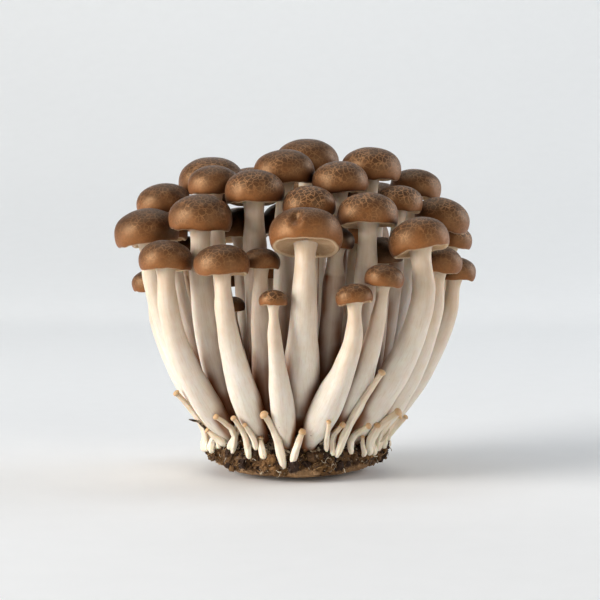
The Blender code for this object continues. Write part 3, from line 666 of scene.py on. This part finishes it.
patchy = put(tree, "ShaderNodeMapRange", {0: clouds.outputs["Fac"], 1: 0.36, 2: 0.56, 3: 0.55, 4: 1.0},
             interpolation_type="SMOOTHSTEP")
crown = put(tree, "ShaderNodeMath", {0: crown.outputs[0], 1: patchy.outputs[0]}, operation="MULTIPLY")
fleck = put(tree, "ShaderNodeTexNoise", {
    "Vector": place, "Scale": 1500.0, "Detail": 3.0, "Roughness": 0.6})
tan_share = put(tree, "ShaderNodeMath", {0: clouds.outputs["Fac"], 1: 0.7, 2: out},
                operation="MULTIPLY_ADD")
tan_share = put(tree, "ShaderNodeMapRange", {0: tan_share.outputs[0], 1: 0.75, 2: 1.70, 3: 0.0, 4: 1.0},
                interpolation_type="SMOOTHSTEP")
ground = put(tree, "ShaderNodeMix", {0: tan_share.outputs[0], 6: linear("#321A0D"), 7: linear("#834F26")},
             data_type="RGBA")
lined = put(tree, "ShaderNodeMix", {0: spot.outputs[0], 6: linear("#A8784E"), 7: linear("#321A0C")},
            data_type="RGBA")
colour = put(tree, "ShaderNodeMix", {0: crown.outputs[0], 6: ground.outputs[2], 7: lined.outputs[2]},
             data_type="RGBA")
fleck_share = put(tree, "ShaderNodeMapRange", {
    0: fleck.outputs["Fac"], 1: 0.35, 2: 0.75, 3: 0.0, 4: 0.35})
colour = put(tree, "ShaderNodeMix", {0: fleck_share.outputs[0], 6: colour.outputs[2], 7: linear("#2E170B")},
             data_type="RGBA")
# Painted shade: the skin is darkened where its neighbours shut the cap in.
painted_shade_share = put(tree, "ShaderNodeAttribute", attribute_name="painted_crevice_shade").outputs["Fac"]
painted_shade_share = put(tree, "ShaderNodeMapRange", {0: painted_shade_share, 1: 0.22, 2: 0.85, 3: 0.0, 4: 1.0},
             interpolation_type="SMOOTHSTEP")
colour = put(tree, "ShaderNodeMix", {0: painted_shade_share.outputs[0], 6: colour.outputs[2], 7: linear("#6B4E3C")},
             data_type="RGBA", blend_type="MULTIPLY")
under = put(tree, "ShaderNodeMapRange", {0: out, 1: 1.36, 2: 1.50, 3: 0.0, 4: 1.0},
            interpolation_type="SMOOTHSTEP")
colour = put(tree, "ShaderNodeMix", {0: under.outputs[0], 6: colour.outputs[2], 7: linear("#DDC3A0")},
             data_type="RGBA")
roof = put(tree, "ShaderNodeMapRange", {0: out, 1: 1.66, 2: 1.78, 3: 0.0, 4: 1.0},
           interpolation_type="SMOOTHSTEP")
colour = put(tree, "ShaderNodeMix", {0: roof.outputs[0], 6: colour.outputs[2], 7: linear("#8E6242")},
             data_type="RGBA")
rough = put(tree, "ShaderNodeMapRange", {0: fleck.outputs["Fac"], 1: 0.3, 2: 0.7, 3: 0.42, 4: 0.58})
bump = put(tree, "ShaderNodeBump", {"Strength": 0.22, "Distance": 0.0002, "Height": fleck.outputs["Fac"]})
ridge = put(tree, "ShaderNodeMath", {0: spot.outputs[0], 1: crown.outputs[0]}, operation="MULTIPLY")
bump = put(tree, "ShaderNodeBump", {"Strength": 0.3, "Distance": 0.00015, "Height": ridge.outputs[0],
                                    "Normal": bump.outputs[0]}, invert=True)
shader = put(tree, "ShaderNodeBsdfPrincipled", {
    "Base Color": colour.outputs[2], "Roughness": rough.outputs[0],
    "Specular IOR Level": 1.0, "Specular Tint": linear("#FFD2A0"),
    "Sheen Weight": 0.04, "Sheen Roughness": 0.4, "Sheen Tint": linear("#D9E2EA"),
    "Subsurface Weight": 0.12, "Subsurface Radius": (1.0, 0.4, 0.2), "Subsurface Scale": 0.0015,
    "Normal": bump.outputs[0]})
put(tree, "ShaderNodeOutputMaterial", {"Surface": shader.outputs[0]})


def cap_frame(node, rings):
    """Middle and radius of a CAD cap's widest ring, and the matrix that stands the unit cap on it."""
    widest, crown_tip = rings[WIDEST_RING], rings[-1][0]
    middle = widest.mean(0)
    radius = np.linalg.norm(widest - middle, axis=1).mean() * (FAR_GROWN if node >= FAR_SIDE else 1.0)
    axis = (crown_tip - middle) / np.linalg.norm(crown_tip - middle)
    side = np.array([1.0, 0.0, 0.0]) - axis * axis[0]
    side /= np.linalg.norm(side)
    other = np.cross(axis, side)
    return middle, radius, np.stack([side, other, axis], 1)


def grown_cap(spot, seed, dimpled):
    """A point of the unit cap, moved as this cap grew: out of round, wavy at the margin, lumpy on top."""
    x, y, h = spot
    r = math.hypot(x, y)
    c, d = (x / r, y / r) if r > 1e-6 else (1.0, 0.0)
    oval = 1 + OVAL * speck((c, d, 0.0), OVAL_WIDE, seed)
    edge = (min(max((r - WAVE_INNER) / WAVE_FADE, 0.0), 1.0)
            * min(max((WAVE_TOP - h) / WAVE_FADE, 0.0), 1.0))
    wave = (WAVE * speck((c, d, 0.0), WAVE_WIDE, seed + 3.0)
            + RIPPLE * speck((c, d, 0.0), RIPPLE_WIDE, seed + 6.0))
    lump = LUMP * speck((x, y, h), LUMP_ACROSS, seed + 9.0)
    x, y, h = x * oval * (1 + lump), y * oval * (1 + lump), h * (1 + lump) + wave * edge
    if dimpled:
        front = min(max(-y / FRONT_FADE, 0.0), 1.0)
        pit, ridge = (deep * math.exp(-((x - at[0]) / size[0]) ** 2 - ((h - at[1]) / size[1]) ** 2)
                      for at, size, deep in (DIMPLE, RIDGE))
        y += (pit - ridge) * front
    return x, y, h


knots = np.arange(len(CAP_OUTLINE), dtype=float)
reads = np.linspace(0, len(CAP_OUTLINE) - 1, CAP_ROWS)
cap_line = smooth_through(knots, CAP_OUTLINE, reads)
cap_turn = np.linspace(0, 2 * np.pi, CAP_SIDES, endpoint=False)
# How far each row is from the crown: 0 there, 1 at the widest ring, 1.5 at the margin, 2 under the middle.
cap_out = np.interp(reads, [0, MARGIN_ROW - 2, MARGIN_ROW, WIDEST_ROW, len(CAP_OUTLINE) - 1],
                    [2.0, 1.75, 1.5, 1.0, 0.0])
for node in mushrooms:
    middle, radius, stand = cap_frame(node, mushroom_rings[node])
    seed = CAP_SEED_STEP * float(node[-2:])
    rows = [[grown_cap((r * math.cos(a), r * math.sin(a), h), seed, node == DIMPLED) for a in cap_turn]
            for r, h in cap_line]
    rows = middle + radius * (np.array(rows) @ stand.T)
    spots_here = SPOTS_LEAST + SPOTS_MORE * abs(noise.noise(Vector((seed, 2.0, 0.0)))) * 2
    # The cap's mark of how shut in it is darkens its colour: painted shade.
    marks = {"out": np.repeat(cap_out[:, None], CAP_SIDES, 1),
             "painted_crevice_shade": painted_crevice_shade(rows, node, row_step=4, side_step=8),
             "spots": np.full((CAP_ROWS, CAP_SIDES), min(spots_here, 1.0))}
    piece = skin("cap_" + node[-2:], rows, marks, pellicle)
    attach(piece, "root")
    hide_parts(node)

# ==== Gills ====
# Thin plates that hang edge down under each cap, from the stem out to the rolled margin, with a short
# one between each pair. They are flesh, in one with the cap.

GILLS_PER_MM = 8.4 / 2      # pairs of a long and a short gill, for each mm of cap radius
GILL_THICK = 0.014          # of the cap's radius, at the root
GILL_UNEVEN = 0.35          # share of the gap between pairs in which each stands by chance
# Each long gill, from the stem outwards: how far out, its root in the roof, and its free edge.
LONG_GILL = [(0.24, -0.13, -0.235), (0.36, -0.155, -0.285), (0.50, -0.185, -0.315), (0.62, -0.215, -0.335),
             (0.74, -0.27, -0.345), (0.82, -0.345, -0.352)]
SHORT_GILL = [(0.52, -0.19, -0.23), (0.60, -0.21, -0.30), (0.68, -0.24, -0.335), (0.76, -0.29, -0.345),
              (0.82, -0.345, -0.352)]

# Gill flesh: thin cream plates, matt, that glow a little where light comes through them.
gill_flesh, tree = empty_material("Mushroom gills")
place = put(tree, "ShaderNodeTexCoord").outputs["Object"]
bits = put(tree, "ShaderNodeTexNoise", {"Vector": place, "Scale": 600.0, "Detail": 4.0})
colour = put(tree, "ShaderNodeMix", {0: bits.outputs["Fac"], 6: linear("#BE966C"), 7: linear("#DDBF9C")},
             data_type="RGBA")
rough = put(tree, "ShaderNodeMapRange", {0: bits.outputs["Fac"], 1: 0.3, 2: 0.7, 3: 0.55, 4: 0.75})
bump = put(tree, "ShaderNodeBump", {"Strength": 0.3, "Distance": 0.0001, "Height": bits.outputs["Fac"]})
shader = put(tree, "ShaderNodeBsdfPrincipled", {
    "Base Color": colour.outputs[2], "Roughness": rough.outputs[0], "Subsurface Weight": 0.15,
    "Subsurface Radius": (1.0, 0.5, 0.3), "Subsurface Scale": 0.0006, "Normal": bump.outputs[0]})
put(tree, "ShaderNodeOutputMaterial", {"Surface": shader.outputs[0]})

gill_tree, given = new_tree("gills round a stem", {
    "Pairs of gills": "Int", "Uneven": "Float", "Seed": "Int", "Stuff": "Material"})
stations = put(gill_tree, "GeometryNodePoints", {"Count": given["Pairs of gills"]})
index = put(gill_tree, "GeometryNodeInputIndex")
step = put(gill_tree, "ShaderNodeMath", {0: 2 * math.pi, 1: given["Pairs of gills"]}, operation="DIVIDE")
jitter = put(gill_tree, "FunctionNodeRandomValue", {2: -0.5, 3: 0.5, 8: given["Seed"]}, data_type="FLOAT")
jitter = put(gill_tree, "ShaderNodeMath", {0: jitter.outputs[1], 1: given["Uneven"], 2: index.outputs[0]},
             operation="MULTIPLY_ADD")
angle = put(gill_tree, "ShaderNodeMath", {0: jitter.outputs[0], 1: step.outputs[0]}, operation="MULTIPLY")
turned = put(gill_tree, "ShaderNodeCombineXYZ", {"Z": angle.outputs[0]})
ring_of_gills = put(gill_tree, "GeometryNodeInstanceOnPoints", {
    "Points": stations.outputs[0], "Instance": given["Geometry"], "Rotation": turned.outputs[0]})
solid = put(gill_tree, "GeometryNodeRealizeInstances", {"Geometry": ring_of_gills.outputs[0]})
coated = put(gill_tree, "GeometryNodeSetMaterial", {
    "Geometry": solid.outputs[0], "Material": given["Stuff"]})
put(gill_tree, "NodeGroupOutput", {0: coated.outputs[0]})


def gill_plate(edge, turn):
    """Points and faces of one closed plate, thinner at its free edge, turned about the stem."""
    points = []
    for r, root, free in edge:
        for h, half in ((root, GILL_THICK / 2), (free, GILL_THICK / 5)):
            for y in (-half, half):
                points.append((r * math.cos(turn) - y * math.sin(turn),
                               r * math.sin(turn) + y * math.cos(turn), h))
    faces = [(0, 1, 3, 2)]
    for k in range(len(edge) - 1):
        a = 4 * k
        faces += [(a, a + 4, a + 5, a + 1), (a + 1, a + 5, a + 7, a + 3), (a + 3, a + 7, a + 6, a + 2),
                  (a + 2, a + 6, a + 4, a)]
    last = 4 * (len(edge) - 1)
    faces.append((last, last + 2, last + 3, last + 1))
    return points, faces


for node in mushrooms:
    middle, radius, stand = cap_frame(node, mushroom_rings[node])
    seed = CAP_SEED_STEP * float(node[-2:])
    pairs = int(GILLS_PER_MM * radius)
    long_points, long_faces = gill_plate(LONG_GILL, 0.0)
    short_points, short_faces = gill_plate(SHORT_GILL, math.pi / pairs)
    first = len(long_points)
    pair_mesh = bpy.data.meshes.new("pair of gills")
    pair_mesh.from_pydata(long_points + short_points, [],
                          long_faces + [tuple(i + first for i in f) for f in short_faces])
    pair = bpy.data.objects.new("pair of gills", pair_mesh)
    piece = grown("gills_" + node[-2:], pair, gill_tree, {
        "Pairs of gills": pairs, "Uneven": GILL_UNEVEN, "Seed": int(node[-2:]), "Stuff": gill_flesh})
    bpy.data.objects.remove(pair)
    for v in piece.data.vertices:
        spot = np.array(grown_cap(tuple(v.co), seed, node == DIMPLED))
        v.co = Vector((middle + radius * (stand @ spot)) * MM)
    bm = bmesh.new()
    bm.from_mesh(piece.data)
    bmesh.ops.recalc_face_normals(bm, faces=bm.faces)
    bm.to_mesh(piece.data)
    bm.free()
    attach(piece, "root")
    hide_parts(node)

# ==== Pins ====
# Young mushrooms that stopped growing: slim fluted stalks with a tan button of a head, crowded round
# the feet of the big ones and down over the torn face of the plug, which they grew from.

PIN_SIDES = 20
PIN_STEP = 0.45             # mm from ring to ring
PIN_HEAD = [(0.55, -0.34), (0.84, -0.30), (0.98, -0.12), (1.0, 0.05), (0.95, 0.25), (0.82, 0.44),
            (0.60, 0.60), (0.34, 0.69), (0.10, 0.72)]       # outline of its button, in button radii
HEAD_ROWS = 16
HEAD_RISE = 0.3             # button radii from the stalk's end up to the middle of the button
PIN_TAPER_AT = [0, 0.06, 0.2, 0.55, 1]          # up the stalk, whose girth is
PIN_TAPER = [0.45, 0.85, 1.05, 0.95, 0.68]      # this at each
PIN_FLUTES, PIN_FLUTE_SHARE = 5, 0.10           # furrows, as deep as this share of its girth
PIN_LUMP_SHARE, HEAD_LUMP_SHARE = 0.12, 0.15    # how far stalk and button swell out of true
PIN_FOOT_HIGH = {"pin_01": 3.4, "pin_05": 5.0, "pin_02": 6.5}       # mm up the plug's face
PIN_FOOT_USUAL = 7.0                                                # and for all the others
PIN_FOOT_TURN = {"pin_01": 0.14, "pin_02": -0.14, "pin_05": -0.10}  # the foot, turned on from the head
BUTTON_SHARE = 0.70         # of the CAD button's radius: the drawn ones are slimmer
STALK_SHARE = 0.95          # of the button
PIN_CLEAR, ABORTED_CLEAR = 0.9, 1.2     # mm from the faces behind it to a stalk's middle line
PIN_SEED, ABORTED_SEED = 40.0, 60.0     # apart, so that no pin repeats another's flutes
FAR_OUT = 80.0              # mm: outside the whole cluster
MISSED_REACH = 25.0         # mm: where a line meets nothing
LINE_KNOTS = 10
LEAN_IN = 0.35              # mm a stalk may lean in for each mm that it climbs
BRIDGED = 8                 # times a stalk is pulled straighter over a hollow
ABORTED = 80                # the smallest pins of all, tried for all round the plug
FRONT_BARE = 0.33           # none in the middle of the front: cosine of the turn where they start
TUFT_WIDE, TUFT_LEAST = 0.35, -0.2      # they crowd in tufts: none where the noise is under this
ABORTED_FOOT = (5.5, 4.0)   # mm: how high its foot is at least, and how much higher it may be
ABORTED_TALL = (4.0, 7.0)   # mm: the same for the stalk's height above its foot
ABORTED_BUTTON = (0.70, 0.45)           # mm: and for the radius of the button
ABORTED_STALK_SHARE = 1.05  # of the button, so that it hardly has a head
ABORTED_LEAN = 0.16         # radians between the most to one side and the most to the other
PLACE_SPREAD = 0.8          # of the gap between two of them

# Pin flesh: cream and a little waxy, the button tan and darkest on top.
pin_flesh, tree = empty_material("Mushroom pin flesh")
place = put(tree, "ShaderNodeTexCoord").outputs["Object"]
grain = put(tree, "ShaderNodeAttribute", attribute_name="grain").outputs["Vector"]
up = put(tree, "ShaderNodeAttribute", attribute_name="height").outputs["Fac"]
fibres = put(tree, "ShaderNodeTexNoise", {"Vector": grain, "Scale": 3.2, "Detail": 4.0, "Roughness": 0.6})
clouds = put(tree, "ShaderNodeTexNoise", {"Vector": place, "Scale": 380.0, "Detail": 4.0})
warm = put(tree, "ShaderNodeMath", {0: clouds.outputs["Fac"], 1: 0.5, 2: up}, operation="MULTIPLY_ADD")
warm = put(tree, "ShaderNodeMapRange", {0: warm.outputs[0], 1: 0.75, 2: 1.75, 3: 0.0, 4: 1.0})
colour = put(tree, "ShaderNodeMix", {0: warm.outputs[0], 6: linear("#E9DFCC"), 7: linear("#C8A87E")},
             data_type="RGBA")
line_mask = put(tree, "ShaderNodeMapRange", {0: fibres.outputs["Fac"], 1: 0.48, 2: 0.70, 3: 0.0, 4: 0.45})
colour = put(tree, "ShaderNodeMix", {0: line_mask.outputs[0], 6: colour.outputs[2], 7: linear("#CDB08A")},
             data_type="RGBA")
button = put(tree, "ShaderNodeMapRange", {0: up, 1: 1.05, 2: 1.7, 3: 0.0, 4: 0.45})
colour = put(tree, "ShaderNodeMix", {0: button.outputs[0], 6: colour.outputs[2], 7: linear("#B58D62")},
             data_type="RGBA")
rough = put(tree, "ShaderNodeMapRange", {0: fibres.outputs["Fac"], 1: 0.3, 2: 0.7, 3: 0.40, 4: 0.60})
bump = put(tree, "ShaderNodeBump", {
    "Strength": 0.4, "Distance": 0.00015, "Height": fibres.outputs["Fac"]})
shader = put(tree, "ShaderNodeBsdfPrincipled", {
    "Base Color": colour.outputs[2], "Roughness": rough.outputs[0], "Subsurface Weight": 0.4,
    "Subsurface Radius": (1.0, 0.5, 0.25), "Subsurface Scale": 0.0015, "Normal": bump.outputs[0]})
put(tree, "ShaderNodeOutputMaterial", {"Surface": shader.outputs[0]})

bare_faces = [face for face, node in zip(shell_faces, shell_owner) if not node.startswith("pin_")]
bare_surface = BVHTree.FromPolygons(shell_points, bare_faces)


def creeping_line(foot, head, head_reach, clear):
    """A line up the outside of the cluster, clear of it by some mm. foot and head: turn and height."""
    shares = np.linspace(0, 1, LINE_KNOTS)
    turns = foot[0] + (head[0] - foot[0]) * shares
    highs = foot[1] + (head[1] - foot[1]) * shares
    reach = []
    for turn, high in zip(turns, highs):
        way = Vector((math.cos(turn), math.sin(turn), 0))
        struck = bare_surface.ray_cast(way * FAR_OUT + Vector((0, 0, high)), -way)[3]
        reach.append((FAR_OUT - struck if struck else MISSED_REACH) + clear)
    if head_reach:
        reach[-1] = head_reach
    for k in range(1, len(reach)):
        reach[k] = max(reach[k], reach[k - 1] - LEAN_IN * (highs[k] - highs[k - 1]))
    reach = np.array(reach)
    for _ in range(BRIDGED):
        reach[1:-1] = np.maximum(reach[1:-1], (reach[:-2] + reach[2:]) / 2)
    if head_reach:
        reach[-1] = head_reach
    return np.stack([reach * np.cos(turns), reach * np.sin(turns), highs], 1)


def pin_rows(line, girth, button, seed):
    """Rings of a pin along a line: a fluted stalk and its button. With its marks: grain, and height,
    which is 0 to 1 up the stalk and 1.1 to 1.8 up the button."""
    knots = np.concatenate([[0], np.cumsum(np.linalg.norm(np.diff(line, axis=0), axis=1))])
    at = np.linspace(0, knots[-1], int(knots[-1] / PIN_STEP) + 1)
    middles = smooth_through(knots, line, at)
    ways = np.gradient(middles, at, axis=0)
    ways /= np.linalg.norm(ways, axis=1)[:, None]
    girths = girth * np.interp(at / at[-1], PIN_TAPER_AT, PIN_TAPER)
    turn = np.linspace(0, 2 * np.pi, PIN_SIDES, endpoint=False)
    rows = []
    grains = []
    for middle, way, r, s in zip(middles, ways, girths, at):
        side = np.cross([0.0, 0.0, 1.0], middle * [1, 1, 0])
        side -= way * (side @ way)
        side /= np.linalg.norm(side)
        other = np.cross(way, side)
        ring = []
        for a in turn:
            flute = PIN_FLUTE_SHARE * math.cos(PIN_FLUTES * a + seed)
            lump = PIN_LUMP_SHARE * speck((math.cos(a) * 3, math.sin(a) * 3, s * 0.5), 2.0, seed)
            ring.append(middle + (side * math.cos(a) + other * math.sin(a)) * r * (1 + (flute + lump)))
        rows.append(ring)
        grains.append(np.stack([np.cos(turn) * r + seed * GRAIN_APART, np.sin(turn) * r,
                                np.full(PIN_SIDES, s * GRAIN_SHARE)], 1))
    top = middles[-1] + ways[-1] * button * HEAD_RISE
    head_line = smooth_through(np.arange(len(PIN_HEAD), dtype=float), PIN_HEAD,
                               np.linspace(0, len(PIN_HEAD) - 1, HEAD_ROWS))
    for r, h in head_line:
        ring = []
        for a in turn:
            lump = 1 + HEAD_LUMP_SHARE * speck((math.cos(a), math.sin(a), h), 1.0, seed)
            spoke = side * math.cos(a) + other * math.sin(a)
            ring.append(top + button * (spoke * r * lump + ways[-1] * h))
        rows.append(ring)
        grains.append(grains[-1])
    height = np.concatenate([at / at[-1], np.linspace(1.1, 1.8, len(head_line))])
    return np.array(rows), {"grain": np.array(grains), "height": np.repeat(height[:, None], PIN_SIDES, 1)}


for node in sorted(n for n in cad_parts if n.startswith("pin_")):
    rings = cad_rings(node)
    seed = PIN_SEED + float(node[-2:])
    middle = rings[STEM_RINGS + 1].mean(0)
    button = BUTTON_SHARE * np.linalg.norm(rings[STEM_RINGS + 1] - middle, axis=1).mean()
    turn = math.atan2(middle[1], middle[0])
    foot = (turn + PIN_FOOT_TURN.get(node, 0.0), PIN_FOOT_HIGH.get(node, PIN_FOOT_USUAL))
    head = (turn, middle[2] - HEAD_RISE * button)
    line = creeping_line(foot, head, math.hypot(middle[0], middle[1]), PIN_CLEAR)
    rows, marks = pin_rows(line, STALK_SHARE * button, button, seed)
    piece = skin("young_pin_" + node[-2:], rows, marks, pin_flesh)
    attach(piece, "root")
    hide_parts(node)

for k in range(ABORTED):
    luck = [abs(noise.cell(Vector((k + 0.5, row + 0.5, 7.5)))) for row in range(5)]     # each 0 to 1
    turn = 2 * math.pi * (k + PLACE_SPREAD * luck[0]) / ABORTED
    front_middle = abs(math.cos(turn)) < FRONT_BARE and math.sin(turn) < 0
    if front_middle or speck((math.cos(turn), math.sin(turn), 0.0), TUFT_WIDE, 4.0) < TUFT_LEAST:
        continue
    foot_high, tall, button = (least + more * share for (least, more), share in zip(
        (ABORTED_FOOT, ABORTED_TALL, ABORTED_BUTTON), luck[1:4]))
    head = (turn + ABORTED_LEAN * (luck[4] - 0.5), foot_high + tall)
    line = creeping_line((turn, foot_high), head, 0.0, ABORTED_CLEAR)
    rows, marks = pin_rows(line, ABORTED_STALK_SHARE * button, button, ABORTED_SEED + k)
    piece = skin(f"aborted_pin_{k:02d}", rows, marks, pin_flesh)
    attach(piece, "root")
    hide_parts("substrate_plug")

# ==== Table, light and camera ====
# A seamless pale sheet of paper, swept up behind. One big soft light stands to the left and in front,
# a weaker one to the right and a weak fill in front, and two more light the top and the paper behind.

SHEET_WIDE = 3.0            # metres
SHEET = [(-1.4, 0.0), (0.35, 0.0), (0.75, 0.02), (1.15, 0.12), (1.45, 0.33), (1.65, 0.68), (1.75, 1.2),
         (1.78, 2.2)]       # metres back and up
SHEET_ROWS = 80

paper, tree = empty_material("Matt white paper")
place = put(tree, "ShaderNodeTexCoord").outputs["Object"]
bits = put(tree, "ShaderNodeTexNoise", {"Vector": place, "Scale": 90.0, "Detail": 4.0})
colour = put(tree, "ShaderNodeMix", {0: bits.outputs["Fac"], 6: linear("#F0F1F1"), 7: linear("#F3F4F4")},
             data_type="RGBA")
bump = put(tree, "ShaderNodeBump", {"Strength": 0.05, "Distance": 0.0002, "Height": bits.outputs["Fac"]})
shader = put(tree, "ShaderNodeBsdfPrincipled", {
    "Base Color": colour.outputs[2], "Roughness": 0.75, "Specular IOR Level": 0.2,
    "Normal": bump.outputs[0]})
put(tree, "ShaderNodeOutputMaterial", {"Surface": shader.outputs[0]})

bend = smooth_through(np.arange(len(SHEET), dtype=float), SHEET, np.linspace(0, len(SHEET) - 1, SHEET_ROWS))
sheet_mesh = bpy.data.meshes.new("paper_sheet")
sheet_points = [(x * SHEET_WIDE / 2, y, z) for y, z in bend for x in (-1, 1)]
sheet_faces = [(2 * k, 2 * k + 1, 2 * k + 3, 2 * k + 2) for k in range(len(bend) - 1)]
sheet_mesh.from_pydata(sheet_points, [], sheet_faces)
sheet_mesh.shade_smooth()
sheet_mesh.materials.append(paper)
sheet = bpy.data.objects.new("paper_sheet", sheet_mesh)
bpy.context.scene.collection.objects.link(sheet)

world = bpy.data.worlds.new("even room light")
bpy.context.scene.world = world
world.use_nodes = True
room = world.node_tree.nodes["Background"].inputs
room["Color"].default_value = linear("#DDE6EA")
room["Strength"].default_value = 0.06

for name, spot, aim, wide, power, tint in (
        ("key softbox", (-1.45, -0.62, 0.50), (0, 0, 0.05), 1.0, 37.5, "#FFFBF7"),
        ("top softbox", (-0.50, -0.20, 1.30), (0, 0, 0.0), 1.0, 3.0, "#F4F8FF"),
        ("right softbox", (1.30, 0.40, 0.48), (0, 0, 0.05), 1.0, 12.0, "#F6F9FF"),
        ("front fill", (0.75, -1.10, 0.40), (0, 0, 0.05), 0.8, 5.0, "#FFF6EC"),
        ("backdrop light", (0.0, 0.55, 1.75), (0, 1.6, 0.35), 1.2, 8.0, "#F2FAFF")):
    light = bpy.data.lights.new(name, "AREA")
    light.shape = "SQUARE"
    light.size = wide
    light.energy = power
    light.color = linear(tint)[:3]
    lamp = bpy.data.objects.new(name, light)
    lamp.location = spot
    lamp.rotation_euler = (Vector(aim) - Vector(spot)).to_track_quat("-Z", "Y").to_euler()
    bpy.context.scene.collection.objects.link(lamp)

camera_data = bpy.data.cameras.new("camera")
camera_data.lens = 112.5
camera_data.sensor_width = 36.0
camera = bpy.data.objects.new("camera", camera_data)
camera.location = (0.0, -0.6, 0.085)
sight = Vector((0.0013, 0.0, 0.0536)) - camera.location
camera.rotation_euler = sight.to_track_quat("-Z", "Y").to_euler()
bpy.context.scene.collection.objects.link(camera)
bpy.context.scene.camera = camera
bpy.context.scene.view_settings.view_transform = "Standard"
